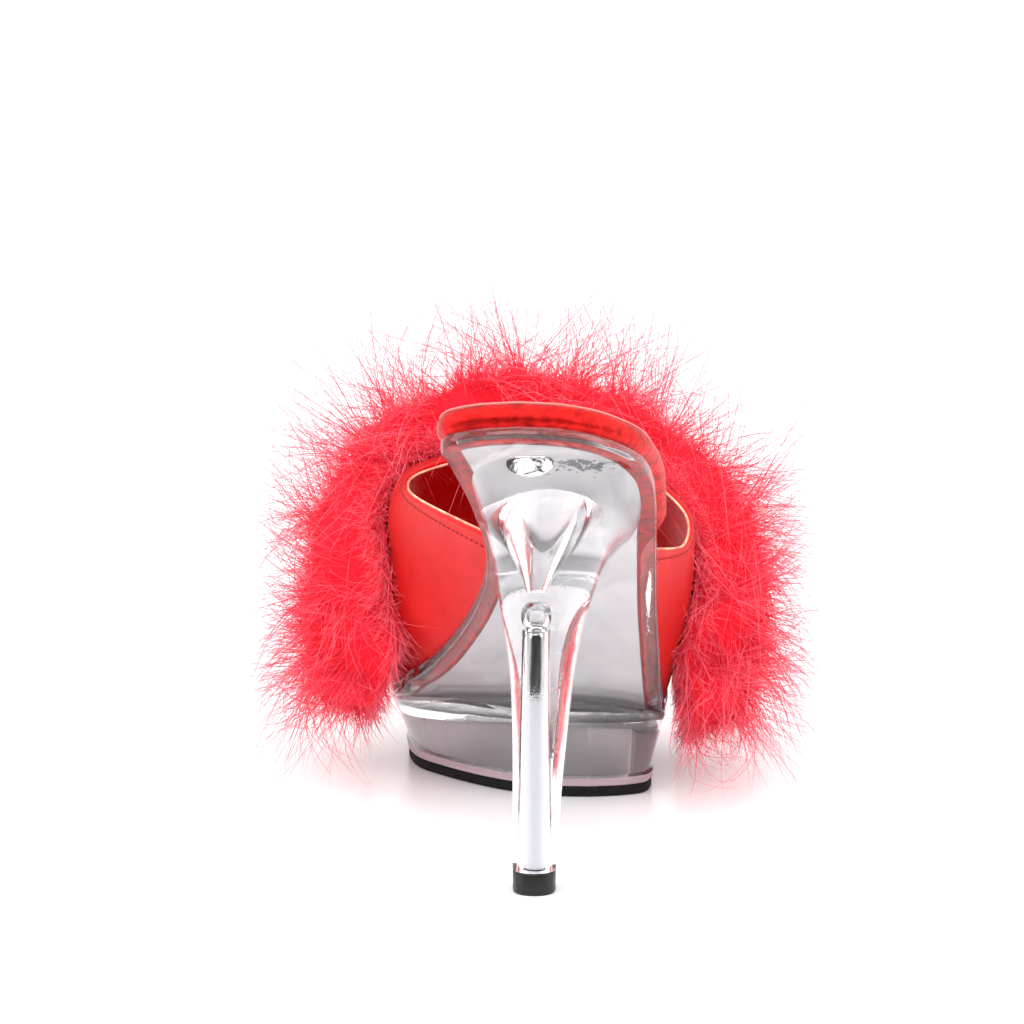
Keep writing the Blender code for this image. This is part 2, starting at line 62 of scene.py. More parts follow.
# %% [markdown]
# ## The last
# A shoe is built over a last, and each layer of the sole follows its curve. The same curve is written here
# once, as a few rows of control points with a smooth line through them. Every sole layer, the heel and the
# band then take their places from it. Lengths in these cells are millimetres, and a mesh gets them in metres
# when it is laid.

# %% Smooth lines through a few points
MM = 0.001


def smooth(rows, at):
    """Catmull-Rom curve through the rows, read at places between 0 and the last row."""
    rows = np.asarray(rows, float)
    last = len(rows) - 1
    at = np.clip(np.asarray(at, float), 0, last)
    i = np.minimum(at.astype(int), last - 1)
    t = (at - i)[..., None]
    a, b, c, d = rows[np.maximum(i - 1, 0)], rows[i], rows[i + 1], rows[np.minimum(i + 2, last)]
    return 0.5 * (2 * b + (c - a) * t + (2 * a - 5 * b + 4 * c - d) * t**2 + (3 * b - a - 3 * c + d) * t**3)


def unit(vectors):
    """The same directions, each of length one."""
    return vectors / np.linalg.norm(vectors, axis=-1, keepdims=True)


def even(rows, count):
    """Points at even steps along the smooth curve through the rows."""
    fine = smooth(rows, np.linspace(0, len(rows) - 1, 40 * len(rows)))
    walked = np.r_[0, np.cumsum(np.linalg.norm(np.diff(fine, axis=0), axis=1))]
    share = np.linspace(0, walked[-1], count)
    return np.stack([np.interp(share, walked, fine[:, k]) for k in range(fine.shape[1])], axis=1)


# %% The sole's curve and outline
LENGTH, BALL, PITCH = 218.0, 78.0, 101.5
HEEL_TO_TREAD = 160.0 / 218.0
OUTSOLE, PLATFORM, PLATE, BOARD, SOCK = 2.8, 16.2, 3.4, 1.2, 6.4
GAP, LAID, SPRING, SOFT = 0.3, 0.55, 2.5, 0.7
TOE_START = 0.86  # the toe springs up from here on
ARCH_START, ARCH_END, ARCH_SLANT = 0.32, 0.575, 0.21  # between these shares of the length the arch slants
TAPER, TAPER_BACK, PLATFORM_WALL, PLATFORM_ROOF, LIP = 4.6, 2.6, 7.0, 3.0, 2.3
MARGIN, OVERHANG, INSTEP, WALL = 5.0, 0.9, 74.0, 1.8
STAND = OUTSOLE + PLATFORM + PLATE + 2 * GAP
SEAT = STAND + PITCH

BED = [
    (-0.01, 1.025), (0.046, 0.946), (0.092, 0.890), (0.138, 0.828), (0.183, 0.757), (0.229, 0.673),
    (0.275, 0.581), (0.321, 0.483), (0.367, 0.377), (0.413, 0.270), (0.450, 0.182), (0.485, 0.108),
    (0.520, 0.054), (0.560, 0.021), (0.610, 0.004), (0.670, 0.000), (0.800, 0.000), (1.050, 0.000),
]
SOLE_INNER = [
    (-0.10, 0.000), (-0.22, 0.005), (-0.315, 0.018), (-0.350, 0.038), (-0.338, 0.064), (-0.300, 0.128),
    (-0.250, 0.200), (-0.212, 0.262), (-0.212, 0.312), (-0.250, 0.372), (-0.318, 0.440), (-0.400, 0.510),
    (-0.490, 0.585), (-0.545, 0.660), (-0.562, 0.735), (-0.545, 0.810), (-0.490, 0.890), (-0.390, 0.958),
    (-0.270, 0.995), (-0.190, 1.000),
]
SOLE_OUTER = [
    (-0.10, 0.000), (0.04, 0.006), (0.180, 0.028), (0.285, 0.070), (0.340, 0.128), (0.360, 0.200),
    (0.366, 0.280), (0.374, 0.360), (0.392, 0.440), (0.412, 0.520), (0.430, 0.600), (0.438, 0.680),
    (0.420, 0.760), (0.365, 0.840), (0.260, 0.915), (0.110, 0.970), (-0.060, 0.997), (-0.190, 1.000),
]
BLOCK_INNER = [
    (0.150, 0.508), (-0.020, 0.516), (-0.225, 0.556), (-0.400, 0.608), (-0.500, 0.652), (-0.545, 0.700),
    (-0.556, 0.750), (-0.540, 0.815), (-0.485, 0.890), (-0.387, 0.955), (-0.270, 0.991), (-0.190, 0.996),
]
BLOCK_OUTER = [
    (0.150, 0.508), (0.270, 0.515), (0.370, 0.533), (0.418, 0.570), (0.430, 0.620), (0.434, 0.680),
    (0.416, 0.760), (0.361, 0.840), (0.257, 0.912), (0.110, 0.966), (-0.060, 0.993), (-0.190, 0.996),
]


def along(share):
    """The y of a share of the length, counted from the back of the seat."""
    return (np.asarray(share) - HEEL_TO_TREAD) * LENGTH


BED_LINE = even([(along(a), r * PITCH) for a, r in BED], 160)


def toe_lift(y):
    """How far the toe springs off the floor."""
    return SPRING * np.clip((y - along(TOE_START)) / (along(1.0) - along(TOE_START)), 0, 1.2) ** 2


def middle(y):
    """Height of the sole's upper face over the middle of the shoe."""
    return STAND + np.interp(y, BED_LINE[:, 0], BED_LINE[:, 1]) + toe_lift(y)


def bed_height(x, y):
    """The inner side of the arch starts to rise further forward than the outer side."""
    fade = np.clip((y - along(ARCH_START)) / (along(ARCH_END) - along(ARCH_START)), 0, 1)
    inward = 0.08 * BALL - x
    return middle(y - ARCH_SLANT * fade * (inward + np.hypot(inward, 0.2 * BALL)))


def on_bed(xy, h):
    """Points at the height h over the sole's upper face, measured square to it."""
    x, y = xy[..., 0], xy[..., 1]
    step = 0.5
    dx = (bed_height(x + step, y) - bed_height(x - step, y)) / (2 * step)
    dy = (bed_height(x, y + step) - bed_height(x, y - step)) / (2 * step)
    square = unit(np.stack([-dx, -dy, np.ones_like(dx)], axis=-1))
    return np.stack([x, y, bed_height(x, y)], axis=-1) + square * h


def on_floor(xy, z):
    """Points at the height z over the floor, lifted with the toe."""
    return np.stack([xy[..., 0], xy[..., 1], z + toe_lift(xy[..., 1])], axis=-1)


def edge(inner, outer):
    """Both sides of an outline, back to front, as fine lines."""
    return np.array([even([(a * BALL, along(b)) for a, b in rows], 400) for rows in (inner, outer)])


def loop_of(sides):
    """Both sides as one line round the sole."""
    return np.concatenate([sides[0], sides[1][-2:0:-1]])


def inset(sides, by):
    """The outline moved inwards in plan, by one amount or by one for each point."""
    loop = loop_of(sides)
    turn = unit(np.roll(loop, -1, axis=0) - np.roll(loop, 1, axis=0))
    by = loop_of(np.broadcast_to(by, sides.shape[:2]))
    loop = loop + np.stack([turn[:, 1], -turn[:, 0]], axis=1) * by[:, None]
    count = sides.shape[1]
    return np.array([loop[:count], np.concatenate([loop[:1], loop[count:][::-1], loop[count - 1 : count]])])


sole, block = edge(SOLE_INNER, SOLE_OUTER), edge(BLOCK_INNER, BLOCK_OUTER)
print(f"the sole is {np.ptp(sole[..., 1]):.0f} mm long, and its seat stands {SEAT:.1f} mm high")

# %% [markdown]
# ## Laying a sheet
# Every lofted piece starts as Blender's own grid, which is a flat sheet with a UV map. Its points are then
# laid on the curve of the last, as a maker lays cloth or runs plastic against a mould. The UV map is set in
# real millimetres, so that a weave keeps its scale wherever the sheet bends.

# %% Helpers for laying and closing a sheet
def only(piece):
    """This piece alone is selected and active."""
    bpy.ops.object.select_all(action="DESELECT")
    piece.select_set(True)
    bpy.context.view_layer.objects.active = piece


def walked(points, axis):
    """Distance walked over a sheet along one axis, as a mean of its other lines."""
    steps = np.linalg.norm(np.diff(points, axis=axis), axis=-1).mean(axis=1 - axis)
    return np.r_[0, np.cumsum(steps)]


def lay(name, points):
    """A grid primitive with its points laid at rows x columns places in millimetres."""
    rows, columns = points.shape[:2]
    bpy.ops.object.select_all(action="DESELECT")
    bpy.ops.mesh.primitive_grid_add(x_subdivisions=columns - 1, y_subdivisions=rows - 1, size=1)
    piece = bpy.context.object
    piece.name = piece.data.name = name
    mesh = piece.data
    mesh.vertices.foreach_set("co", (points * MM).astype(np.float32).ravel())
    corner = np.empty(len(mesh.loops), np.int32)
    mesh.loops.foreach_get("vertex_index", corner)
    u, v = walked(points, 1), walked(points, 0)
    mesh.uv_layers[0].data.foreach_set("uv", np.stack([u[corner % columns], v[corner // columns]], 1).ravel())
    mesh.update()
    return piece


def edit(piece, *steps):
    """Runs edit-mode operators on the whole of one piece."""
    only(piece)
    bpy.ops.object.mode_set(mode="EDIT")
    bpy.ops.mesh.select_all(action="SELECT")
    for step in steps:
        step()
    bpy.ops.object.mode_set(mode="OBJECT")


def close_up(piece):
    """Doubled points are joined, open ends filled, and faces turned outwards."""
    edit(
        piece,
        lambda: bpy.ops.mesh.remove_doubles(threshold=2e-6),
        lambda: bpy.ops.mesh.fill_holes(sides=0),
        lambda: bpy.ops.mesh.normals_make_consistent(inside=False),
    )
    return piece


def dress(piece, degrees, *materials):
    """The piece gets its materials, and its faces shade smooth up to this angle."""
    piece.data.materials.clear()
    for material in materials:
        piece.data.materials.append(material)
    only(piece)
    bpy.ops.object.shade_smooth_by_angle(angle=math.radians(degrees))


def tube(name, rings):
    """Rings of equal length joined from first to last, with both ends closed."""
    rings = np.asarray(rings, float)
    return close_up(lay(name, np.concatenate([rings, rings[:, :1]], axis=1)))


def count(piece):
    print(f"{piece.name}: {sum(len(p.vertices) - 2 for p in piece.data.polygons)} triangles")


# %% Helpers for the sole's layers
STATIONS = 110
END_BLEND = 0.12  # share of the length in which the stations ease to an outline's own end


def stations(sides, whole):
    """The outline's points at shared stations, closer together at its ends."""
    share = np.linspace(0, 1, STATIONS + 1)
    share = 0.45 * share + 0.55 * (1 - np.cos(np.pi * share)) / 2
    start, end = whole[0, 0, 1], whole[0, -1, 1]
    y = start + (end - start) * share
    y = y + (sides[0, 0, 1] - start) * np.clip(1 - share / END_BLEND, 0, 1)
    y = y + (sides[0, -1, 1] - end) * np.clip(1 - (1 - share) / END_BLEND, 0, 1)
    across = [np.interp(y, np.maximum.accumulate(side[:, 1]), side[:, 0]) for side in sides]
    return np.array([np.stack([x, y], axis=1) for x in across])


def face_rows(ring, shares):
    """Rows between a ring and the middle line of its face: share 0 is the line and share 1 the ring."""
    sides, place, h = ring
    return [place(loop_of(sides.mean(axis=0) * (1 - share) + sides * share), h) for share in shares]


def layer(name, whole, rings, cap=12):
    """A sole layer from the middle of its under face, over its rim, to the middle of its upper face."""
    rings = [(stations(sides, whole), place, h) for sides, place, h in rings]
    rows = face_rows(rings[0], np.arange(cap) / cap)
    rows += [place(loop_of(sides), h) for sides, place, h in rings]
    rows += face_rows(rings[-1], 1 - np.arange(1, cap + 1) / cap)
    rows = np.array(rows)
    return close_up(lay(name, np.concatenate([rows, rows[:, :1]], axis=1)))


def combine(piece, other, operation):
    """A Boolean with a helper that is then thrown away."""
    change = piece.modifiers.new(operation.lower(), "BOOLEAN")
    change.operation, change.solver, change.object = operation, "EXACT", other
    only(piece)
    bpy.ops.object.modifier_apply(modifier=change.name)
    bpy.data.objects.remove(other)


def seat_in(piece, slot, *nodes):
    """The finished piece rides with the shoe and stands for its CAD nodes, which are hidden. The slot is not
    used.
    """
    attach(piece, "root")
    if nodes:
        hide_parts(*nodes)
    count(piece)


# %% [markdown]
# ## Finishes
# Each finish is one Principled shader with the detail of the real material in its nodes. A helper makes the
# shader and another adds a node with its settings, so that a cell shows only what makes each finish its own.

# %% Helpers for finishes
def finish(name, colour, **sockets):
    """A Principled shader with these values on its sockets."""
    material = bpy.data.materials.new(name)
    material.use_nodes = True
    shader = material.node_tree.nodes["Principled BSDF"]
    shader.inputs["Base Color"].default_value = (*colour, 1)
    for socket, value in sockets.items():
        value = (*value, 1) if isinstance(value, tuple) else value
        shader.inputs[socket.replace("_", " ")].default_value = value
    return material


def add(material, kind, inputs=None, **settings):
    """A node with its inputs set, or linked where an output socket is given."""
    tree = material.node_tree
    node = tree.nodes.new("ShaderNode" + kind)
    for key, value in settings.items():
        setattr(node, key, value)
    for key, value in (inputs or {}).items():
        if isinstance(value, bpy.types.NodeSocket):
            tree.links.new(value, node.inputs[key])
        else:
            node.inputs[key].default_value = value
    return node


def drive(material, socket, output):
    """A node's output goes into a socket of the shader."""
    material.node_tree.links.new(output, material.node_tree.nodes["Principled BSDF"].inputs[socket])


def ramp(material, factor, stops):
    """A Color Ramp: each stop is a place and a grey or a colour."""
    node = add(material, "ValToRGB", {"Fac": factor})
    bar = node.color_ramp.elements
    while len(bar) < len(stops):
        bar.new(0.5)
    for element, (place, colour) in zip(bar, stops):
        element.position = place
        element.color = (*colour, 1) if isinstance(colour, tuple) else (colour, colour, colour, 1)
    return node.outputs["Color"]


def coordinates(material, kind="Object", scale=(1, 1, 1), turn=(0, 0, 0), shift=(0, 0, 0)):
    """Object coordinates in metres or the UV map in millimetres, scaled and turned."""
    place = add(material, "TexCoord").outputs[kind]
    mapping = add(material, "Mapping", {"Vector": place, "Scale": scale, "Rotation": turn, "Location": shift})
    return mapping.outputs["Vector"]


def noise(material, vector, scale, detail=3.0, roughness=0.5, distortion=0.0):
    inputs = {"Vector": vector, "Scale": scale, "Detail": detail}
    inputs.update(Roughness=roughness, Distortion=distortion)
    return add(material, "TexNoise", inputs).outputs["Fac"]


def bump(material, height, strength, depth, under=None):
    """A normal from a height of this depth in metres, laid over the normal under it."""
    inputs = {"Height": height, "Strength": strength, "Distance": depth}
    if under is not None:
        inputs["Normal"] = under
    return add(material, "Bump", inputs).outputs["Normal"]


def between(material, value, low, high, at_low, at_high):
    """A value read from low to high, and given out from at_low to at_high."""
    inputs = {"Value": value, "From Min": low, "From Max": high, "To Min": at_low, "To Max": at_high}
    return add(material, "MapRange", inputs).outputs[0]


def let_lamps_through(material, tint):
    """Lamps shine through clear plastic, which a plain glass shader keeps in the dark."""
    tree = material.node_tree
    out = tree.nodes["Material Output"]
    path = add(material, "LightPath")
    clear = add(material, "BsdfTransparent", {"Color": (*tint, 1)})
    mix = add(material, "MixShader", {0: path.outputs["Is Shadow Ray"]})
    tree.links.new(tree.nodes["Principled BSDF"].outputs[0], mix.inputs[1])
    tree.links.new(clear.outputs[0], mix.inputs[2])
    tree.links.new(mix.outputs[0], out.inputs["Surface"])


# %% Clear plastic
def clear_plastic(name, colour, roughness, wave, scratch, clear=1.0):
    """Moulded plastic: its faces are a little wavy, and use has left fine scratches."""
    plastic = finish(name, colour, Roughness=roughness, IOR=1.49, Transmission_Weight=clear)
    flow = noise(plastic, coordinates(plastic), 55.0, 1.0)
    lines = noise(plastic, coordinates(plastic, scale=(900, 60, 500), turn=(0.3, 0.2, 0.9)), 1.0, 2.0)
    marks = ramp(plastic, lines, [(0.0, 0.0), (0.60, 0.0), (0.66, 1.0)])
    normal = bump(plastic, flow, wave, 0.0006)
    drive(plastic, "Normal", bump(plastic, marks, scratch, 0.00005, normal))
    let_lamps_through(plastic, (0.93, 0.91, 0.93))
    return plastic


CLEAR = clear_plastic("clear_moulded_plastic", (0.985, 0.98, 0.985), 0.015, 0.10, 0.20)
POCKET = clear_plastic("frosted_pocket", (0.86, 0.80, 0.83), 0.42, 0.12, 0.10, clear=0.70)
FOOT = clear_plastic("tinted_foot", (0.72, 0.52, 0.57), 0.35, 0.05, 0.05, clear=0.55)

# %% Silver foil board
SILVER = finish("silver_foil", (0.70, 0.70, 0.72), Metallic=0.85, Roughness=0.36)
fold = noise(SILVER, coordinates(SILVER, scale=(1, 0.5, 0.7), turn=(0, 0.4, 0.5)), 70.0, 2.0, 0.5, 0.4)
grain = noise(SILVER, coordinates(SILVER), 1500.0, 2.0)
tone = noise(SILVER, coordinates(SILVER), 45.0, 3.0)
foil = ramp(SILVER, tone, [(0.3, (0.72, 0.72, 0.75)), (0.7, (0.88, 0.88, 0.89))])
worn = noise(SILVER, coordinates(SILVER), 330.0, 4.0, 0.75)
around_boss = coordinates(SILVER, scale=(70, 150, 70), shift=(-0.65, 21.2, -8.0))
away = add(SILVER, "VectorMath", {0: around_boss}, operation="LENGTH").outputs["Value"]
near = between(SILVER, away, 0.1, 1.2, 0.17, -0.12)
flaked = add(SILVER, "Math", {0: worn, 1: near}, operation="ADD").outputs[0]
fleck = ramp(SILVER, flaked, [(0.60, 0.0), (0.63, 1.0)])
mixed = add(SILVER, "Mix", {0: fleck, 6: foil, 7: (0.22, 0.23, 0.25, 1)}, data_type="RGBA").outputs[2]
drive(SILVER, "Base Color", mixed)
drive(SILVER, "Roughness", ramp(SILVER, grain, [(0.3, 0.30), (0.7, 0.46)]))
drive(SILVER, "Normal", bump(SILVER, grain, 0.3, 0.0001, bump(SILVER, fold, 0.6, 0.0012)))

# %% Satin
SATIN_SHEEN = {"Sheen_Weight": 0.05, "Sheen_Roughness": 0.4, "Sheen_Tint": (1.0, 0.35, 0.28)}


def satin(name, deep, bright, shine=0.4, gloss=0.3, crumple=0.06, size=120.0, pitch=1.0, turn=0.6):
    """Shiny cloth: long floats of thread give a coloured sheen along one direction."""
    surface = {"Metallic": shine, "Roughness": 0.36, "Specular_IOR_Level": gloss, "Anisotropic": 0.4}
    cloth = finish(name, bright, **surface, **SATIN_SHEEN)
    uv = coordinates(cloth, "UV", scale=(pitch, pitch, pitch), turn=(0, 0, turn))
    floats = add(cloth, "TexWave", {"Vector": uv, "Scale": 1.0, "Distortion": 0.6, "Detail": 1.0})
    yarn = noise(cloth, coordinates(cloth, "UV", scale=(0.6, 7.0, 1.0), turn=(0, 0, turn)), 1.0, 2.0)
    slub_and_painted_reflection = noise(cloth, coordinates(cloth), size, 2.0)
    # The slub noise mixes the deep and bright tones: uneven yarn, and on the footbed also painted reflection.
    drive(cloth, "Base Color", ramp(cloth, slub_and_painted_reflection, [(0.25, deep), (0.7, bright)]))
    drive(cloth, "Roughness", ramp(cloth, yarn, [(0.2, 0.26), (0.8, 0.40)]))
    soft = bump(cloth, slub_and_painted_reflection, crumple, 0.0010)
    woven = bump(cloth, floats.outputs["Fac"], 0.25, 0.0001, soft)
    drive(cloth, "Normal", bump(cloth, yarn, 0.35, 0.0001, woven))
    return cloth


SATIN = satin("red_satin", (0.54, 0.005, 0.006), (0.64, 0.008, 0.008))
# The footbed's deep tone is painted reflection over the cloth's own slub: its dark mottles stand for the dark
# side of the room mirrored in the rim.
BED_SATIN = satin("footbed_satin", (0.30, 0.002, 0.003), (0.70, 0.010, 0.008), shine=0.7, crumple=0.6, size=300.0)
MATT = {"shine": 0.0, "gloss": 0.12, "pitch": 0.8, "turn": 0.0}
LINING = satin("red_lining", (0.56, 0.001, 0.004), (0.72, 0.002, 0.006), **MATT)

# %% Edge, bead and thread
CREAM = finish("cream_edge", (0.86, 0.60, 0.40), Roughness=0.7)
dyed = noise(CREAM, coordinates(CREAM), 260.0)
drive(CREAM, "Base Color", ramp(CREAM, dyed, [(0.35, (0.72, 0.20, 0.13)), (0.65, (0.88, 0.56, 0.38))]))
THREAD = finish("red_thread", (0.30, 0.004, 0.008), Roughness=0.55)
drive(THREAD, "Normal", bump(THREAD, noise(THREAD, coordinates(THREAD), 3000.0), 0.4, 0.0001))
# Pale pink bead: its pale colour is a painted highlight along the top edge of the footbed's rim.
PINK_HIGHLIGHT = finish("pink_bead_painted_highlight", (0.95, 0.22, 0.19), Roughness=0.35)
drive(PINK_HIGHLIGHT, "Roughness", ramp(PINK_HIGHLIGHT, noise(PINK_HIGHLIGHT, coordinates(PINK_HIGHLIGHT), 700.0), [(0.3, 0.28), (0.7, 0.5)]))

# %% Steel and rubber
BRIGHT_FROM = 0.0545  # metres over the floor, where the frosted part of the pin ends
STEEL = finish("steel_pin", (0.62, 0.63, 0.65), Metallic=1.0, Roughness=0.08)
height = add(STEEL, "SeparateXYZ", {"Vector": coordinates(STEEL)}).outputs["Z"]
speck = noise(STEEL, coordinates(STEEL), 2600.0, 2.0)
wander = add(STEEL, "Math", {0: speck, 1: 0.010}, operation="MULTIPLY").outputs[0]
line = add(STEEL, "Math", {0: height, 1: wander}, operation="ADD").outputs[0]
frosted = between(STEEL, line, BRIGHT_FROM, BRIGHT_FROM + 0.003, 1.0, 0.0)
drive(STEEL, "Roughness", ramp(STEEL, frosted, [(0.0, 0.06), (1.0, 0.52)]))
drive(STEEL, "Base Color", ramp(STEEL, frosted, [(0.0, (0.50, 0.50, 0.50)), (1.0, (0.70, 0.72, 0.75))]))
drive(STEEL, "Metallic", ramp(STEEL, frosted, [(0.0, 1.0), (1.0, 0.35)]))
drive(STEEL, "Normal", bump(STEEL, speck, 0.25, 0.0001))

RUBBER = finish("black_rubber", (0.008, 0.008, 0.008), Roughness=0.8, Specular_IOR_Level=0.2)
grit = noise(RUBBER, coordinates(RUBBER), 1600.0, 3.0)
drive(RUBBER, "Base Color", ramp(RUBBER, grit, [(0.35, (0.004, 0.004, 0.004)), (0.75, (0.016, 0.015, 0.016))]))
drive(RUBBER, "Normal", bump(RUBBER, grit, 0.6, 0.0003))
TIP = finish("black_tip", (0.006, 0.006, 0.006), Roughness=0.32, Specular_IOR_Level=0.35)
drive(TIP, "Roughness", ramp(TIP, noise(TIP, coordinates(TIP), 500.0), [(0.3, 0.24), (0.7, 0.42)]))


# %% Down
def down(name, tones, sheen):
    """Crimson down, darker at the root of each barb and paler towards its tip: painted shade deep in the mass and
    painted light where the thin tip lets light through, with tone that differs at random by clump.
    """
    halo = {"Sheen_Weight": sheen, "Sheen_Roughness": 0.5, "Sheen_Tint": (1.0, 0.30, 0.38)}
    fluff = finish(name, tones[1], Roughness=0.65, Specular_IOR_Level=0.2, **halo)
    tip = add(fluff, "Attribute", attribute_name="tip").outputs["Fac"]
    clump = noise(fluff, coordinates(fluff), 70.0, 2.0)
    mixed = add(fluff, "Math", {0: clump, 1: 0.35}, operation="MULTIPLY").outputs[0]
    # Painted light and shade: the tone runs from dark at each barb's root to pale at its tip.
    place = add(fluff, "Math", {0: mixed, 1: tip}, operation="ADD").outputs[0]
    drive(fluff, "Base Color", ramp(fluff, place, list(zip((0.05, 0.30, 0.70, 1.0), tones))))
    return fluff


# Two copies of one down: the lit copy, with pale tips, is painted light on the tufts, barbs and wall fuzz; the
# shaded copy is painted shade on the core and the short fuzz deep in the roll.
LIT_TONES = [(0.93, 0.008, 0.028), (1.0, 0.020, 0.055), (1.0, 0.070, 0.12), (1.0, 0.20, 0.26)]
SHADED_TONES = [(0.80, 0.002, 0.014), (0.95, 0.006, 0.030), (1.0, 0.014, 0.050), (1.0, 0.045, 0.09)]
LIT_DOWN = down("crimson_down_painted_light", LIT_TONES, 0.35)
SHADED_DOWN = down("down_painted_shade", SHADED_TONES, 0.25)
print("finishes:", ", ".join(material.name for material in bpy.data.materials))

# %% [markdown]
# ## Clear sole and heel
# The sole and its stiletto are one moulding in clear plastic, with a hollow cone under the seat to save
# plastic and a bore for the steel pin. Five lofts make it: the sole and the heel are united, and the cone,
# the bore and a shallow round recess over the heel are cut away. Clear plastic shows every facet, so these
# lofts are much finer than the CAD's.

# %% The sole, the heel and its hollows
HEEL = [
    (0.00, 0.48, -0.015, 0.080, 0.038, 0.272, 0.290, 0.262),
    (0.10, 0.48, -0.018, 0.070, 0.058, 0.271, 0.250, 0.255),
    (0.20, 0.48, -0.022, 0.055, 0.080, 0.264, 0.216, 0.232),
    (0.40, 0.50, -0.022, 0.030, 0.094, 0.250, 0.182, 0.200),
    (0.65, 0.50, -0.020, 0.005, 0.098, 0.229, 0.154, 0.166),
    (0.85, 0.48, -0.021, -0.012, 0.096, 0.208, 0.130, 0.134),
    (1.00, 0.435, -0.023, -0.020, 0.092, 0.186, 0.106, 0.106),
    (1.00, 0.335, -0.028, -0.027, 0.085, 0.165, 0.093, 0.092),
    (1.00, 0.210, -0.037, -0.037, 0.077, 0.142, 0.082, 0.081),
    (1.00, 0.112, -0.043, -0.043, 0.071, 0.127, 0.076, 0.075),
    (1.00, 0.0482, -0.047, -0.047, 0.0656, 0.1165, 0.0725, 0.0715),
]
CONE_TOP, CONE_TIP, CONE_END = (0.000, 0.170, 0.140), (-0.036, 0.133, 0.026), 0.622
LIFT, PIN_R, PIN_SHARE, PIN_LEAN = 5.7, 2.65, 0.54, (0.010, 0.031)
HEEL_FOOT, PIN_TOP = LIFT + GAP, PIN_SHARE * SEAT
TIP_X, TIP_Y = (HEEL[-1][2] + HEEL[-1][3]) / 2 * BALL, along((HEEL[-1][4] + HEEL[-1][5]) / 2)
BOSS = (-4.6, -143.0, 5.6)  # middle and radius of the recess
ROUND = 96  # points round a turned shape
BLUNT, ROUNDER = 2.5, 0.4  # a section with 2 is an ellipse, and the heel gets rounder by 0.4 towards the floor


def heel_ring(row, square):
    """A section of the heel: level 0 lies on the curve of the sole, level 1 lies flat."""
    level, height, mid_back, mid_front, back, front, half_back, half_front = row
    turn = np.linspace(0, 2 * np.pi, ROUND, endpoint=False)
    across = np.sign(np.cos(turn)) * np.abs(np.cos(turn)) ** (2 / square)
    t = (np.sign(np.sin(turn)) * np.abs(np.sin(turn)) ** (2 / square) + 1) / 2
    x = (mid_back * (1 - t) + mid_front * t + across * (half_back * (1 - t) + half_front * t)) * BALL
    y = along(back * (1 - t) + front * t)
    flat = np.stack([x, y, np.full(ROUND, height * SEAT)], axis=1)
    return on_bed(flat[:, :2], -0.7 * PLATE) * (1 - level) + flat * level


def circle(centre, radius, points=ROUND):
    turn = np.linspace(0, 2 * np.pi, points, endpoint=False)
    return np.stack([centre[0] + radius * np.cos(turn), centre[1] + radius * np.sin(turn)], axis=1)


def pin_ring(z, radius):
    """A ring round the pin, which leans a little."""
    t = z / PIN_TOP
    centre = (TIP_X + t * PIN_LEAN[0] * BALL, TIP_Y + t * PIN_LEAN[1] * LENGTH)
    return np.column_stack([circle(centre, radius), np.full(ROUND, z)])


heel_rows = smooth(HEEL, np.linspace(0, len(HEEL) - 1, 81))
heel_rows[-1, 1] = HEEL_FOOT / SEAT
plate_rings = [
    (1.5 * SOFT, -PLATE), (0.75 * SOFT, -PLATE + 0.3 * SOFT), (0.3 * SOFT, -PLATE + SOFT), (0.0, -SOFT),
    (0.2 * SOFT, -0.3 * SOFT), (0.7 * SOFT, 0.0),
]
clear_sole = layer("clear_sole", sole, [(inset(sole, by), on_bed, h) for by, h in plate_rings])
heel = tube("heel_form", [heel_ring(row, BLUNT - ROUNDER * row[0]) for row in heel_rows])
combine(clear_sole, heel, "UNION")

THROUGH = 3.0  # how far the cone's form stands out of the sole, so that it cuts right through
cone_top, cone_tip = [circle((x * BALL, along(b)), r * BALL) for x, b, r in (CONE_TOP, CONE_TIP)]
cone_top = on_bed(cone_top, THROUGH)
cone_tip = np.column_stack([cone_tip, np.full(ROUND, CONE_END * SEAT)])
cone = [cone_top * (1 - t) + cone_tip * t for t in np.linspace(0, 1, 9)]
combine(clear_sole, tube("cone_form", cone), "DIFFERENCE")

BORE = [
    (-2.0, PIN_R + GAP), (PIN_TOP + GAP, PIN_R + GAP), (PIN_TOP + 0.8, 0.75 * PIN_R),
    (PIN_TOP + 2.0, 1.12 * PIN_R), (PIN_TOP + 4.0, 1.22 * PIN_R), (PIN_TOP + 6.2, 1.08 * PIN_R),
    (PIN_TOP + 7.4, 0.7 * PIN_R),
]
bulb = smooth(BORE[2:], np.linspace(0, 4, 17))
combine(clear_sole, tube("bore_form", [pin_ring(z, r) for z, r in [*BORE[:2], *bulb]]), "DIFFERENCE")
BOSS_ROWS = [(0.04, -0.8), (0.5, -0.8), (0.92, -0.8), (1.0, -0.7), (1.0, 2.0)]
boss = [on_bed(circle(BOSS[:2], BOSS[2] * share, 64), h) for share, h in BOSS_ROWS]
combine(clear_sole, tube("boss_form", boss), "DIFFERENCE")
dress(clear_sole, 32, CLEAR)
seat_in(clear_sole, "clear_plastic", "sole_heel")

# %% [markdown]
# ## Clear platform and outsole
# The platform is a clear block with tapered sides, a low foot and a pocket moulded into its underside. The
# pocket's faces are left frosted by the mould, which is why the block looks grey and the sides look clear.
# The outsole is a thin sheet of black rubber under it.

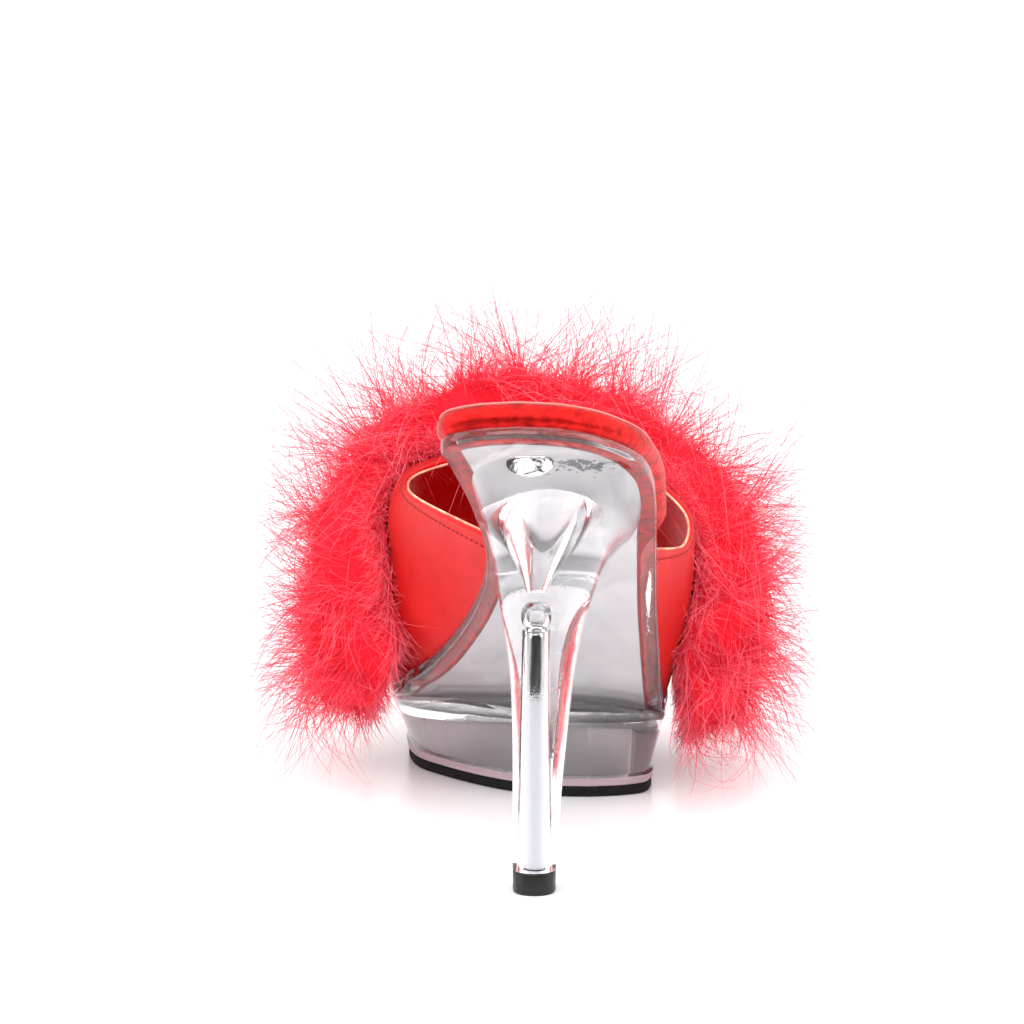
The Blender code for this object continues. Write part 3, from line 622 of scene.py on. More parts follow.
# %% Platform
towards_back = np.clip((along(0.62) - block[..., 1]) / (0.08 * LENGTH), 0, 1)
taper = TAPER + (TAPER_BACK - TAPER) * towards_back
base, roof = OUTSOLE + GAP, -PLATE - GAP
TOUCH = 0.4  # the glued joint: the top face lies in the face of the sole, so no air is seen between them
clear_platform = layer(
    "clear_platform",
    block,
    [
        (inset(block, taper + PLATFORM_WALL - SOFT), on_bed, roof - PLATFORM_ROOF),
        (inset(block, taper + PLATFORM_WALL), on_floor, base + LIP),
        (inset(block, taper + PLATFORM_WALL), on_floor, base),
        (inset(block, taper + 0.3), on_floor, base),
        (inset(block, taper), on_floor, base + 0.3),
        (inset(block, taper - GAP), on_floor, base + LIP),
        (inset(block, taper + 0.6 * SOFT), on_floor, base + LIP + GAP),
        (inset(block, taper + SOFT), on_floor, base + LIP + 2 * GAP),
        (inset(block, GAP), on_bed, roof - SOFT),
        (inset(block, 0.3 * SOFT + GAP), on_bed, roof - 0.2 * SOFT),
        (inset(block, SOFT), on_bed, roof + TOUCH),
    ],
)
dress(clear_platform, 32, CLEAR, POCKET, FOOT)
foot_loop = loop_of(inset(block, taper))
for face in clear_platform.data.polygons:
    x, y, z = face.center / MM
    from_side = np.hypot(*(foot_loop - [x, y]).T).min()
    under_roof = z < float(bed_height(x, y)) + roof - 0.6 * PLATFORM_ROOF
    pocket = from_side > PLATFORM_WALL - 2 and under_roof
    low = z < base + LIP + float(toe_lift(y)) + 0.1
    face.material_index = 1 if pocket else 2 * int(low and from_side < 2.0)
seat_in(clear_platform, "clear_plastic", "platform")

# %% Outsole
rubber_outsole = layer(
    "rubber_outsole",
    block,
    [
        (inset(block, taper + 2 * SOFT), on_floor, 0.0),
        (inset(block, taper + GAP + 0.3 * SOFT), on_floor, 0.3 * SOFT),
        (inset(block, taper + GAP), on_floor, SOFT),
        (inset(block, taper + GAP), on_floor, OUTSOLE - 0.3),
        (inset(block, taper + GAP + 0.3), on_floor, OUTSOLE),
    ],
)
dress(rubber_outsole, 40, RUBBER)
seat_in(rubber_outsole, "rubber", "outsole")

# %% [markdown]
# ## Pin and top piece
# A steel pin stiffens the heel. Its upper end is bare and mirrors the room, and the rest is frosted. The
# black top piece under the heel takes the wear.

# %% Steel pin
pin_rows = [(HEEL_FOOT, PIN_R - 0.4), (HEEL_FOOT + 0.15, PIN_R - 0.12), (HEEL_FOOT + 0.4, PIN_R)]
pin_rows += [(z, PIN_R) for z in np.linspace(HEEL_FOOT + 2, PIN_TOP - 2, 12)]
pin_rows += [(PIN_TOP - 0.5, PIN_R), (PIN_TOP - 0.15, PIN_R - 0.15), (PIN_TOP, PIN_R - 0.5)]
steel_pin = tube("steel_core_pin", [pin_ring(z, r) for z, r in pin_rows])
dress(steel_pin, 40, STEEL)
seat_in(steel_pin, "steel", "heel_pin")

# %% Top piece
tip_row = heel_ring(heel_rows[-1], BLUNT - ROUNDER)[:, :2]
tip_middle = tip_row.mean(axis=0)
tip_rows = [(0.0, 0.92), (0.15, 0.955), (0.5, 0.98), (LIFT - 0.5, 0.99), (LIFT - 0.12, 0.975), (LIFT, 0.95)]
top_piece = tube(
    "rubber_top_piece",
    [np.column_stack([tip_middle + (tip_row - tip_middle) * s, np.full(ROUND, z)]) for z, s in tip_rows],
)
dress(top_piece, 40, TIP)
seat_in(top_piece, "heel_rubber", "heel_tip")

# %% [markdown]
# ## Silver board and footbed
# The insole board is covered in silver foil and glued to the sole, so plastic and foil touch with no air
# between them: its underside is let into the plastic by a hair. The footbed is foam wrapped in satin, with a
# soft rim.

# %% Silver board
GLUED = 0.4  # how far the foil lies in the face of the clear sole
board_sides = inset(sole, MARGIN + GAP)
silver_board = layer(
    "silver_board",
    sole,
    [(board_sides, on_bed, -GLUED), (board_sides, on_bed, LAID - 0.1), (board_sides, on_bed, LAID + BOARD)],
    16,
)
dress(silver_board, 40, SILVER)
seat_in(silver_board, "silver_foil", "insole_board")

# %% Footbed
PRESSED = 0.08  # how far the glued underside of the satin lies in the face of the clear sole
BAND_SPAN = [(0.262, 0.706), (0.286, 0.679)]
fade = LENGTH * 0.035
room = np.zeros(sole.shape[:2])
for side, (start, end) in enumerate(BAND_SPAN):
    y = sole[side][:, 1]
    room[side] = np.clip((y - along(start) + fade + 2) / fade, 0, 1)
    room[side] *= np.clip((along(end) + fade + 2 - y) / fade, 0, 1)
room = room * (WALL + OVERHANG + 4 * GAP)
seat_side = np.clip((along(0.33) - sole[..., 1]) / (0.03 * LENGTH), 0, 1)
seat_side = seat_side * np.clip((sole[..., 1] - along(0.04)) / (0.12 * LENGTH), 0, 1)
over = OVERHANG * (1 + np.array([0.2, 1.6])[:, None] * seat_side)
RIM = [
    # share of the room, share of the overhang, share of the sock inwards, height as a share of the sock
    (0.9, 0.0, 0.14, 0.0), (1.0, -0.6, 0.0, 0.14), (1.0, -1.0, 0.0, 0.45), (1.0, -0.6, 0.0, 0.76),
    (1.0, 0.0, 0.17, 0.95), (0.85, 0.0, 0.42, 0.99), (0.7, 0.0, 0.7, 1.0),
]
footbed_rings = [(inset(sole, MARGIN), on_bed, LAID + BOARD + GAP), (inset(sole, MARGIN), on_bed, -PRESSED)]
for a, b, c, h in smooth(RIM, np.linspace(0, len(RIM) - 1, 25)):
    pressed = (LAID + PRESSED) * max(0, 1 - 9 * h)
    footbed_rings.append((inset(sole, a * room + b * over + c * SOCK), on_bed, LAID + h * SOCK - pressed))
footbed = layer("satin_footbed", sole, footbed_rings, 14)
dress(footbed, 50, BED_SATIN)
seat_in(footbed, "satin", "footbed")

# %% [markdown]
# ## Band of satin
# The band is satin over a stiffener, folded in round its edges, with a lining that ends in a cream edge. It
# is laid as two closed sheets, one inside the other, each wrapped round its section so that the folds are
# round.

# %% The band's surface
BAND = [
    [
        (None, 0.262, 0.0), (-0.350, 0.326, 0.225), (-0.462, 0.398, 0.475), (-0.494, 0.448, 0.655),
        (-0.468, 0.484, 0.790), (-0.350, 0.506, 0.875), (-0.080, 0.518, 0.965), (0.235, 0.500, 0.905),
        (0.420, 0.470, 0.700), (0.500, 0.435, 0.500), (0.475, 0.372, 0.225), (None, 0.286, 0.0),
    ],
    [
        (None, 0.404, 0.0), (-0.455, 0.450, 0.355), (-0.548, 0.514, 0.660), (-0.500, 0.568, 0.855),
        (-0.330, 0.596, 0.925), (-0.065, 0.610, 0.935), (0.205, 0.596, 0.895), (0.405, 0.568, 0.790),
        (0.508, 0.523, 0.610), (0.488, 0.450, 0.330), (None, 0.395, 0.0),
    ],
    [
        (None, 0.541, 0.0), (-0.562, 0.560, 0.300), (-0.572, 0.606, 0.480), (-0.488, 0.660, 0.655),
        (-0.295, 0.688, 0.738), (-0.065, 0.697, 0.765), (0.180, 0.692, 0.725), (0.372, 0.674, 0.615),
        (0.494, 0.633, 0.465), (0.494, 0.569, 0.280), (None, 0.528, 0.0),
    ],
    [
        (None, 0.706, 0.0), (-0.592, 0.720, 0.145), (-0.570, 0.752, 0.285), (-0.475, 0.784, 0.420),
        (-0.282, 0.798, 0.500), (-0.077, 0.803, 0.525), (0.128, 0.798, 0.500), (0.300, 0.784, 0.420),
        (0.415, 0.757, 0.300), (0.458, 0.716, 0.150), (None, 0.679, 0.0),
    ],
]
FOOT = 1.5 * GAP
AROUND, ACROSS = 38, 11
foot_lines = inset(sole, 0.35)


def on_sole_edge(side, y):
    """Where the band meets the sole, just inside its edge and clear of its face."""
    line = foot_lines[side]
    return on_bed(np.array([np.interp(y, line[:, 1], line[:, 0]), y]), FOOT)


def band_edge(rows):
    """One line round the band, from the inner edge of the sole to the outer edge."""
    points = []
    for k, (a, b, rise) in enumerate(rows):
        y = along(b)
        if a is None:
            points.append(on_sole_edge(int(k > 0), y))
        else:
            points.append(np.array([a * BALL, y, middle(y) + rise * INSTEP]))
    return even(points, AROUND + 1)


def normals_of(grid):
    """Outward directions over a grid of points, which point up at its crown."""
    out = unit(np.cross(np.gradient(grid, axis=1), np.gradient(grid, axis=0)))
    return out if out[:, out.shape[1] // 2, 2].mean() > 0 else -out


def resample(grid, at_rows, at_columns):
    """The smooth surface through a grid of points, read at other rows and columns."""
    rows, columns = grid.shape[:2]
    wide = smooth(grid.transpose(1, 0, 2).reshape(columns, -1), at_columns).reshape(len(at_columns), rows, 3)
    return smooth(wide.transpose(1, 0, 2).reshape(rows, -1), at_rows).reshape(len(at_rows), len(at_columns), 3)


edges = np.array([band_edge(rows) for rows in BAND])
outside = smooth(edges.reshape(len(BAND), -1), np.linspace(0, len(BAND) - 1, ACROSS))
outside = outside.reshape(ACROSS, AROUND + 1, 3)
for row in outside:
    for side, end in ((0, 0), (1, -1)):
        row[end] = on_sole_edge(side, row[end][1])
print(f"the band is {walked(outside, 1)[-1]:.0f} mm round and {walked(outside, 0)[-1]:.0f} mm wide")

# %% Satin and lining
COLUMNS = np.linspace(0, AROUND, 4 * AROUND + 1)
ROWS = np.linspace(0, ACROSS - 1, 4 * (ACROSS - 1) + 1)
fine = resample(outside, ROWS, COLUMNS)
fine_out = normals_of(fine)
for end in (0, -1):
    fine_out[:, end] = unit(fine_out[:, end] * [1, 1, 0])


def band_at(rows, depth):
    """Points of the band at row places, each at its own depth under the satin's face."""
    at = np.asarray(rows, float) * (len(ROWS) - 1) / (ACROSS - 1)
    place = smooth(fine.reshape(len(ROWS), -1), at).reshape(len(at), len(COLUMNS), 3)
    out = unit(smooth(fine_out.reshape(len(ROWS), -1), at).reshape(len(at), len(COLUMNS), 3))
    return place - out * np.asarray(depth)[:, None, None]


ROW, FLAT_ROWS = 6.0, 44  # a row of the band is about this wide, and a laid sheet has this many


def sheet_round(name, start, end, top, under):
    """A closed sheet between two depths whose folded edges are round."""
    half = (under - top) / 2
    bend = half / ROW
    turn = np.linspace(0, np.pi, 7)[1:-1]
    flat = np.linspace(start + bend, end - bend, FLAT_ROWS)
    rows = [*flat, *(end - bend + bend * np.sin(turn)), *flat[::-1], *(start + bend - bend * np.sin(turn))]
    depth = [*[top] * FLAT_ROWS, *(top + half - half * np.cos(turn))]
    depth += [*[under] * FLAT_ROWS, *(under - half + half * np.cos(turn))]
    grid = band_at(rows, depth)
    return close_up(lay(name, np.concatenate([grid, grid[:1]])))


SATIN_UNDER, LINING_TOP = 1.15, 1.2  # depths under the satin's face
LINING_BACK = 0.14  # in rows: the lining ends this far short of the fold
satin_band = sheet_round("satin_band", 0.0, ACROSS - 1, 0.0, SATIN_UNDER)
dress(satin_band, 50, SATIN)
seat_in(satin_band, "satin", "upper")
band_lining = sheet_round("band_lining", LINING_BACK, ACROSS - 1 - LINING_BACK, LINING_TOP, WALL)
dress(band_lining, 50, LINING)
seat_in(band_lining, "satin")

# %% [markdown]
# ## Edges and stitches
# A cord-like bead is a ring swept along a line. The cream edge of the lining follows the topline, and a pale
# bead closes the rim of the footbed: an edging cord whose pale colour is a painted highlight along the rim's
# top edge. The stitches are one small thread modelled once and copied along its row.

# %% Beads
def bead(name, points, radius, closed=False):
    """A round cord along a line. Each ring stands square to it."""
    ahead = unit(np.gradient(points, axis=0))
    side = unit(np.cross(ahead, [0.0, 0.0, 1.0]))
    up = np.cross(side, ahead)
    if closed:
        points = np.concatenate([points, points[:1]])
        side, up = np.concatenate([side, side[:1]]), np.concatenate([up, up[:1]])
    turn = np.linspace(0, 2 * np.pi, 8, endpoint=False)[:, None]
    return tube(name, points[:, None] + radius * (side[:, None] * np.cos(turn) + up[:, None] * np.sin(turn)))


CREAM_ROW, CREAM_DEPTH, CREAM_R = 0.04, 1.42, 0.34
RIM_R = 0.26

cream_line = band_at([CREAM_ROW], [CREAM_DEPTH])[0]
cream_edge = bead("cream_lining_edge", even(cream_line, 260)[3:-3], CREAM_R)
dress(cream_edge, 60, CREAM)
seat_in(cream_edge, "satin")

# The pale bead on the rim's top edge is partly a real edging cord and partly a painted highlight.
rim_line = loop_of(stations(inset(sole, room - 0.25 * over + 0.03 * SOCK), sole))
rim_line = on_bed(rim_line, LAID + 0.90 * SOCK)
rim_highlight_bead = bead("footbed_highlight_bead", even(np.concatenate([rim_line, rim_line[:1]]), 420)[:-1], RIM_R, closed=True)
dress(rim_highlight_bead, 60, PINK_HIGHLIGHT)
seat_in(rim_highlight_bead, "satin")

# %% Stitches
PITCH_OF_STITCH, STITCH, THREAD_R = 1.85, 1.35, 0.30


def stitch_row(name, points, out):
    """One small thread copied along the points, laid flat on the cloth."""
    bpy.ops.object.select_all(action="DESELECT")
    bpy.ops.mesh.primitive_uv_sphere_add(segments=6, ring_count=5, radius=1.0)
    row = bpy.context.object
    row.name = row.data.name = name
    shape = np.array([v.co for v in row.data.vertices])
    faces = [tuple(p.vertices) for p in row.data.polygons]
    ahead = unit(np.gradient(points, axis=0))
    side = np.cross(out, ahead)
    all_points, all_faces = [], []
    for place, a, s, o in zip(points, ahead, side, out):
        thread = place + shape[:, 2:] * a * STITCH / 2 + shape[:, :1] * s * THREAD_R
        thread = thread + (shape[:, 1:2] * 0.28 + 0.05) * o
        all_faces += [tuple(i + len(all_points) * len(shape) for i in face) for face in faces]
        all_points.append(thread * MM)
    row.data.clear_geometry()
    row.data.from_pydata(np.concatenate(all_points).tolist(), [], all_faces)
    edit(row, lambda: bpy.ops.mesh.normals_make_consistent(inside=False))
    dress(row, 80, THREAD)
    return row


def stitch_line(row_place):
    """Places for the stitches of a row, and the way out of the cloth at each."""
    line = band_at([row_place], [0.0])[0]
    length = np.linalg.norm(np.diff(line, axis=0), axis=1).sum()
    points = even(line, int(length / PITCH_OF_STITCH))[1:-1]
    nearest = [int(np.argmin(np.linalg.norm(line - p, axis=1))) for p in points]
    out = (band_at([row_place], [-1.0])[0] - line)[nearest]
    return points, out


for name, place in (("topline_stitches", 0.62), ("toe_edge_stitches", ACROSS - 1.55)):
    seat_in(stitch_row(name, *stitch_line(place)), "satin")

# %% [markdown]
# ## The roll of down
# Marabou is soft down on a cord, wound round and round until it is a thick roll. From near it is thousands of
# curved barbs, thinner than a pixel at their ends. A closed core gives the roll its body, and threads grow
# from it in four sorts: short fuzz on its face, fuzz on its side walls, tufts, and long barbs in plumes that
# cross each other. Each thread is a thin three-sided spike, and arrays build thousands at once, which no
# operator could do as fast.

# %% Shape of the roll
FLUFF, DROOP = 22.5, 20.0
DOWN_AROUND, DOWN_ACROSS = 48, 15
BARE_CROWN, BARE_SIDES = 0.20, 0.67  # share of the band left bare behind the roll
ROLL_START, ROLL_END = 0.060, 0.940  # share of the way round the band
TUFT_SIZE, LUMP_SIZE, TUFT_SHAPE = 0.26, 0.24, (6.0, 2.0)  # on a roll that is 6 long and 2 wide
FAN = 9.0  # how far the crown of the roll fans out ahead and up
around = np.linspace(ROLL_START, ROLL_END, DOWN_AROUND + 1)
ahead = np.linspace(0, 1, DOWN_ACROSS + 1)
wide = smooth(outside.transpose(1, 0, 2).reshape(AROUND + 1, -1), around * AROUND)
wide = wide.reshape(len(around), ACROSS, 3)
skin = []
for u, line in zip(around, wide):
    bare = BARE_CROWN + (BARE_SIDES - BARE_CROWN) * np.abs(2 * u - 1) ** 1.5
    skin.append(smooth(line, (bare + (1 - bare) * ahead) * (ACROSS - 1)))
skin = np.array(skin).transpose(1, 0, 2)
rise = normals_of(skin)
rise[..., 1] = np.maximum(rise[..., 1], -0.35 * rise[..., 2].clip(0, 1) + 0.05)
rise = unit(rise)
grid_v, grid_u = np.meshgrid(ahead, np.linspace(0, 1, len(around)), indexing="ij")
seed = np.arange(1, 221)
tuft = np.zeros_like(grid_u)
spread_u, spread_v, spread_size = [seed * step % 1 for step in (0.6180339887, 0.7548776662, 0.5698402910)]
for u0, v0, size in zip(spread_u, spread_v, 0.75 + 0.5 * spread_size):
    far = np.hypot((grid_u - u0) * TUFT_SHAPE[0], (grid_v - v0) * TUFT_SHAPE[1])
    tuft = np.maximum(tuft, size * np.clip(1 - far / TUFT_SIZE, 0, 1))
round_v = np.sqrt(np.clip(1 - (2 * grid_v - 1) ** 2, 0, 1)) ** 0.7
round_u = np.sqrt(np.clip(1 - (2 * grid_u - 1) ** 12, 0, 1)) ** 0.8
crown = np.clip(1 - np.abs(2 * grid_u - 1) / 0.45, 0, 1)
depth = FLUFF * (0.07 + (0.12 + 0.88 * round_v) * (0.22 + 0.78 * round_u) * (0.80 + 0.28 * tuft))
hang = DROOP * np.clip((np.abs(2 * grid_u - 1) - 0.70) / 0.30, 0, 1) ** 1.3 * (0.15 + 0.85 * round_v)
fan = np.zeros_like(rise)
fan[..., 1] = (2 * grid_v - 1) * FAN * round_v * np.where(grid_v < 0.5, crown, 1.0)
fan[..., 2] = FAN * crown * round_v * (1 - grid_v)
fluff = skin + rise * depth[..., None] + fan
fluff[..., 2] -= hang

# %% Core of the roll
# The core wears the shaded copy of the down: painted shade for the dense inside of the roll.
CORE = 0.90  # of the roll's depth
random = np.random.default_rng(7)
core_rows, core_columns = np.linspace(0, DOWN_ACROSS, 46), np.linspace(0, DOWN_AROUND, 145)
under = resample(skin + rise * 2 * GAP, core_rows, core_columns)
over_all = resample(fluff, core_rows, core_columns)
lumps = np.zeros(over_all.shape[:2])
far_v, far_u = np.meshgrid(*[np.linspace(0, 1, size) for size in lumps.shape], indexing="ij")
for _ in range(260):
    lump_u, lump_v, size = random.random(), random.random(), random.uniform(0.5, 1.0)
    far = np.hypot((far_u - lump_u) * TUFT_SHAPE[0], (far_v - lump_v) * TUFT_SHAPE[1])
    lumps = np.maximum(lumps, size * np.clip(1 - far / LUMP_SIZE, 0, 1) ** 0.7)
core_top = under + (over_all - under) * (CORE + 0.08 * lumps - 0.08)[..., None]
core = close_up(lay("down_core", np.concatenate([core_top, under[::-1], core_top[:1]])))
dress(core, 80, SHADED_DOWN)
seat_in(core, "down", "marabou")

# %% Threads
def threads(name, paths, widths, dye):
    """Thin three-sided spikes along n paths of k points, in one mesh."""
    n, k = paths.shape[:2]
    step = unit(np.gradient(paths, axis=1))
    side = unit(np.cross(step, random.normal(size=(n, 1, 3))))
    up = np.cross(step, side)
    taper_off = widths[:, None] * (1 - 0.75 * np.linspace(0, 1, k)[None, :-1] ** 1.3)
    turn = np.array([0, 2, 4]) * np.pi / 3
    ring = side[:, :-1, None] * np.cos(turn)[:, None] + up[:, :-1, None] * np.sin(turn)[:, None]
    rings = paths[:, :-1, None] + ring * taper_off[..., None, None] / 2
    points = np.concatenate([rings.reshape(n, -1, 3), paths[:, -1:]], axis=1)
    size = points.shape[1]
    sides = [(i, (i + 1) % 3) for i in range(3)]
    faces = [(3 * r + i, 3 * r + j, 3 * r + 3 + j, 3 * r + 3 + i) for r in range(k - 2) for i, j in sides]
    faces += [(3 * (k - 2) + i, 3 * (k - 2) + j, size - 1) for i, j in sides] + [(0, 2, 1)]
    corners = np.array([corner for face in faces for corner in face])
    sizes = np.array([len(face) for face in faces])
    loops = (np.arange(n)[:, None] * size + corners).ravel()
    starts = np.r_[0, np.cumsum(np.tile(sizes, n))[:-1]]
    mesh = bpy.data.meshes.new(name)
    mesh.vertices.add(n * size)
    mesh.vertices.foreach_set("co", (points * MM).astype(np.float32).ravel())
    mesh.loops.add(len(loops))
    mesh.loops.foreach_set("vertex_index", loops.astype(np.int32))
    mesh.polygons.add(len(starts))
    mesh.polygons.foreach_set("loop_start", starts.astype(np.int32))
    mesh.polygons.foreach_set("use_smooth", np.ones(len(starts), bool))
    mesh.update(calc_edges=True)
    piece = bpy.data.objects.new(name, mesh)
    bpy.context.scene.collection.objects.link(piece)
    share = np.append(np.repeat(np.linspace(0, 1, k)[:-1], 3), 1.0)
    mesh.attributes.new("tip", "FLOAT", "POINT").data.foreach_set("value", np.tile(share, n).astype(np.float32))
    piece.data.materials.append(dye)
    seat_in(piece, "down")


over_out = unit(0.55 * normals_of(over_all) + 0.45 * unit(over_all - under))
steps_u = np.linalg.norm(np.gradient(over_all, axis=1), axis=-1)
steps_v = np.linalg.norm(np.gradient(over_all, axis=0), axis=-1)
patch = (steps_u * steps_v).ravel()
patch_sum = np.cumsum(patch) / patch.sum()


def places(n):
    """n places on the face of the core, even over its area, and the outward direction of each."""
    at = np.minimum(np.searchsorted(patch_sum, random.random(n)), len(patch) - 1)
    i, j = np.divmod(at, over_all.shape[1])
    i2, j2 = np.minimum(i + 1, over_all.shape[0] - 1), np.minimum(j + 1, over_all.shape[1] - 1)
    a, b = random.random((n, 1)), random.random((n, 1))
    mixed = []
    for grid in (core_top, over_out):
        near_row = grid[i, j] * (1 - a) * (1 - b) + grid[i2, j] * a * (1 - b)
        mixed.append(near_row + grid[i, j2] * (1 - a) * b + grid[i2, j2] * a * b)
    return mixed


def curved(root, direction, length, curl, k):
    """Paths of k points that leave the root along a direction and bend by curl."""
    t = np.linspace(0, 1, k)[None, :, None]
    length = length[:, None, None]
    return root[:, None] + length * (direction[:, None] * t + curl[:, None] * t**2)


# %% Room for the threads
PROUD = 10.0  # soft threads stand this far outside the CAD's box, and 3% of its side
CLEAR_OF = 0.6  # they stay this far inside that room, and this far over the floor
BESIDE_SOLE = 1.0  # and this far from the sole
low_corner, high_corner = np.array(cad_box) / MM
spare = PROUD + 0.03 * (high_corner - low_corner) - CLEAR_OF
least, most = low_corner - spare, high_corner + spare
least[2] = CLEAR_OF


def kept_in(paths):
    """Threads that would leave the room, or run into the sole, are drawn in towards their roots."""
    for _ in range(14):
        x, y, z = np.moveaxis(paths, 2, 0)
        inner, outer = [np.interp(y, side[:, 1], side[:, 0]) for side in sole]
        in_shoe = (x > inner - BESIDE_SOLE) & (x < outer + BESIDE_SOLE) & (z < middle(y) + SOCK + BESIDE_SOLE)
        out = ((paths < least) | (paths > most)).any(axis=(1, 2)) | in_shoe.any(axis=1)
        paths[out] = paths[out, :1] + 0.84 * (paths[out] - paths[out, :1])
    return paths


# %% Short fuzz on the face
SWAY = 0.15 * random.normal(size=(3, 3))


def sway(points):
    """Down lies in locks: neighbours lean the same way, and the lean changes slowly over the roll."""
    return np.sin(points @ SWAY + [0.0, 2.1, 4.2])


# The short fuzz wears the shaded copy of the down: painted shade near the core.
FUZZ, FUZZ_WIDTH = 7600, (0.18, 0.30)
for k in range(2):
    top, out = places(FUZZ)
    direction = unit(0.75 * out + 0.6 * sway(top) + 0.4 * random.normal(size=(FUZZ, 3)))
    curl = 0.35 * random.normal(size=(FUZZ, 3)) + [0, 0, -0.10]
    paths = curved(top - out * 0.8, direction, random.uniform(3.0, 7.0, FUZZ), curl, 4)
    threads(f"down_fuzz_{k + 1}", kept_in(paths), random.uniform(*FUZZ_WIDTH, FUZZ), SHADED_DOWN)

# %% Fuzz along the back edge and on both lower ends
def wall_fuzz(name, foot_line, head_line, ahead, n):
    """Fuzz on a side wall of the roll, which the threads of its face leave bare."""
    column = random.uniform(0, len(foot_line) - 1.001, n)
    j, share = column.astype(int), (column % 1)[:, None]
    foot, head = [line[j] * (1 - share) + line[j + 1] * share for line in (foot_line, head_line)]
    up = random.uniform(0.0, 1.0, (n, 1)) ** 1.3
    direction = unit(0.35 * unit(head - foot) + ahead + 0.45 * random.normal(size=(n, 3)))
    curl = 0.40 * random.normal(size=(n, 3)) + [0, 0, -0.15]
    root = foot * (1 - up) + head * up - direction * 0.5
    paths = curved(root, direction, random.uniform(3.0, 9.0, n), curl, 5)
    # The wall fuzz wears the lit copy of the down: painted light on the roll's edges.
    threads(name, kept_in(paths), random.uniform(*FUZZ_WIDTH, n), LIT_DOWN)


wall_fuzz("down_edge_fuzz", under[0], core_top[0], [0, -0.45, 0], 3200)
wall_fuzz("down_inner_end_fuzz", under[:, 0], core_top[:, 0], [0.1, -0.2, -0.6], 1500)
wall_fuzz("down_outer_end_fuzz", under[:, -1], core_top[:, -1], [-0.1, -0.2, -0.6], 1500)


# %% Plumes of barbs
def plumes(name, count_of, barbs, lengths, spread, curls, k, width):
    """Barbs in plumes: those of one plume leave it together, spread, and bend the same way."""
    top, out = places(count_of)
    stem = unit(out + 0.45 * sway(top) + spread[0] * random.normal(size=(count_of, 3)))
    bend = curls[0] * random.normal(size=(count_of, 3)) + [0, 0, -0.14]
    reach = random.uniform(*lengths, count_of)
    many = np.repeat(np.arange(count_of), barbs)
    total = len(many)
    root = (top - out * 2.0)[many] + 1.6 * random.normal(size=(total, 3))
    direction = unit(stem[many] + spread[1] * random.normal(size=(total, 3)))
    curl = bend[many] + curls[1] * random.normal(size=(total, 3))
    length = reach[many] * random.uniform(0.5, 1.0, total)
    paths = curved(root, direction, length, curl, k)
    t = np.linspace(0, 1, k)[None, :, None]
    wave = random.normal(size=(total, 1, 3)) * length[:, None, None] * 0.08
    paths += wave * np.sin(np.pi * 1.6 * t + random.uniform(0, 6, (total, 1, 1))) * t
    # The plumes wear the lit copy of the down: painted light on the outer barbs.
    threads(name, kept_in(paths), random.uniform(*width, total), LIT_DOWN)


plumes("down_tufts", 440, 10, (9.0, 17.0), (0.35, 0.32), (0.45, 0.25), 6, (0.17, 0.27))
for name in ("down_barbs_1", "down_barbs_2"):
    plumes(name, 190, 13, (26.0, 46.0), (0.30, 0.24), (0.48, 0.22), 8, (0.17, 0.29))

# %% [markdown]
# ## Camera, light and floor
# The photograph looks at the heel from behind and a little above, from far away with a long lens, on white.
# Soft lamps stand to both sides, above and behind, out of the camera's sight. One dark card stands behind the
# camera and one lies on the floor before the shoe. Only reflections and clear plastic show them, and they put
# the grey strips into the plastic and the mirror of the pin.

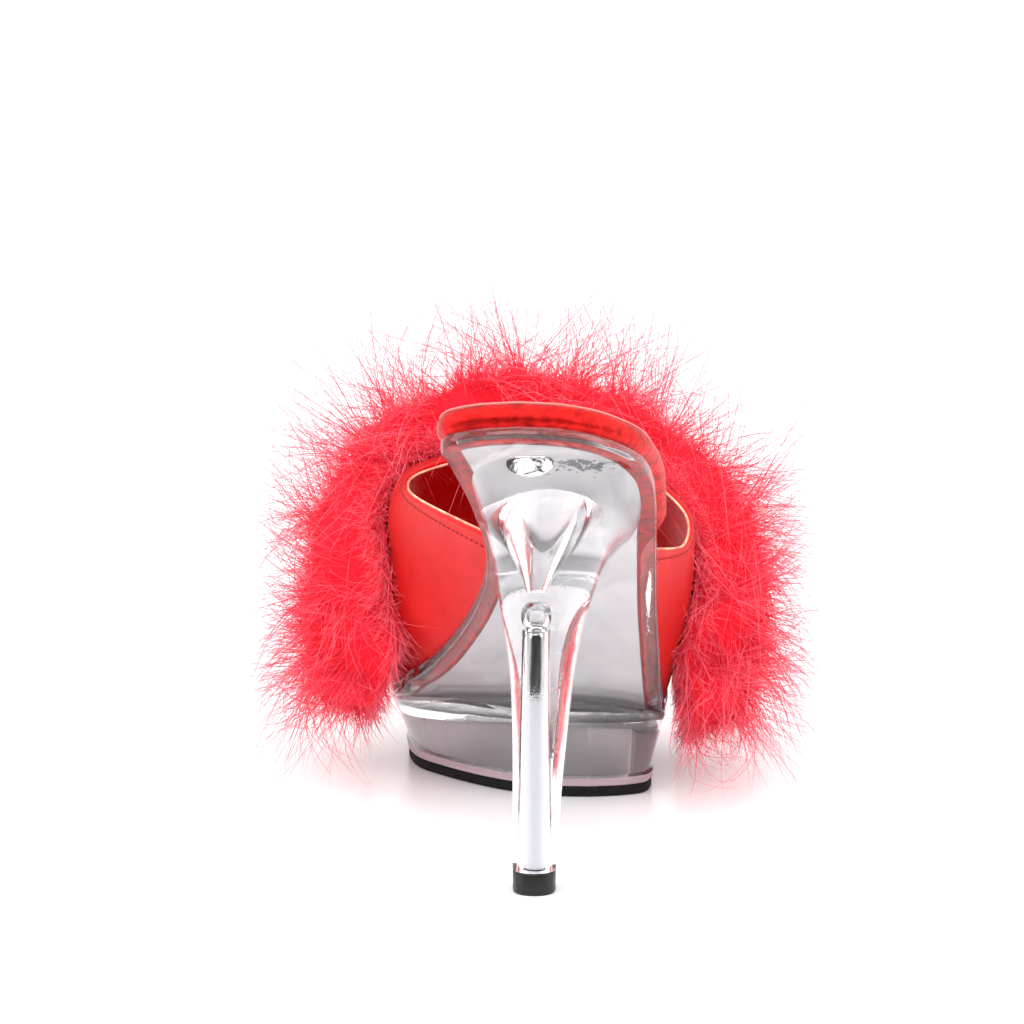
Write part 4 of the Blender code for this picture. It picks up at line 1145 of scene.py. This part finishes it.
# %% Camera
ELEVATION, DISTANCE, FOCAL_PIXELS, PIXELS = math.radians(11.8), 1.45, 5400, 1024
target = Vector((-0.009377, -0.060, 0.082747))
back = Vector((0, -math.cos(ELEVATION), math.sin(ELEVATION)))
bpy.ops.object.camera_add(location=target + back * DISTANCE)
camera = bpy.context.object
camera.rotation_euler = (-back).to_track_quat("-Z", "Y").to_euler()
camera.data.sensor_width = 36
camera.data.lens = 36 * FOCAL_PIXELS / PIXELS
camera.data.clip_start, camera.data.clip_end = 0.01, 100
bpy.context.scene.camera = camera

# %% Lamps and the dark side of the room
AIM = Vector((0, -0.02, 0.06))


def lamp(name, place, size, watts):
    """A soft box aimed at the shoe."""
    bpy.ops.object.light_add(type="AREA", location=place)
    light = bpy.context.object
    light.name = name
    light.data.shape, light.data.size, light.data.size_y = "RECTANGLE", size[0], size[1]
    light.data.energy = watts
    light.visible_camera = False
    light.rotation_euler = (AIM - Vector(place)).to_track_quat("-Z", "Y").to_euler()


lamp("left_softbox", (-1.5, -0.5, 0.9), (0.9, 1.3), 10)
lamp("right_softbox", (1.5, -0.45, 0.9), (0.9, 1.3), 10)
lamp("rear_fill", (-0.2, -1.7, 1.5), (1.3, 0.8), 13)
lamp("top_softbox", (0.0, -0.2, 1.7), (1.6, 1.2), 12)
world = bpy.data.worlds.new("studio")
bpy.context.scene.world = world
world.use_nodes = True
sky = world.node_tree.nodes["Background"].inputs
sky["Color"].default_value, sky["Strength"].default_value = (1.0, 1.0, 1.0, 1), 1.2

DARK = finish("dark_cloth", (0.02, 0.02, 0.022), Roughness=0.9)
for name, place, lean, size in (
    ("dark_side", (0, -2.4, 0.6), 90, (8.0, 1.3, 1)),
    ("dark_floor", (0, -0.95, 0.002), 0, (5.0, 1.2, 1)),
):
    bpy.ops.mesh.primitive_plane_add(size=1, location=place, rotation=(math.radians(lean), 0, 0))
    card = bpy.context.object
    card.name, card.scale = name, size
    card.visible_camera = card.visible_diffuse = card.visible_shadow = False
    card.data.materials.append(DARK)

# %% Floor
bpy.ops.mesh.primitive_plane_add(size=60, location=(0, 0, 0))
floor = bpy.context.object
floor.name = "floor"
floor.data.materials.append(finish("pale_floor", (0.96, 0.96, 0.97), Roughness=0.22, Specular_IOR_Level=0.4))
bpy.context.scene.view_settings.view_transform = "Standard"
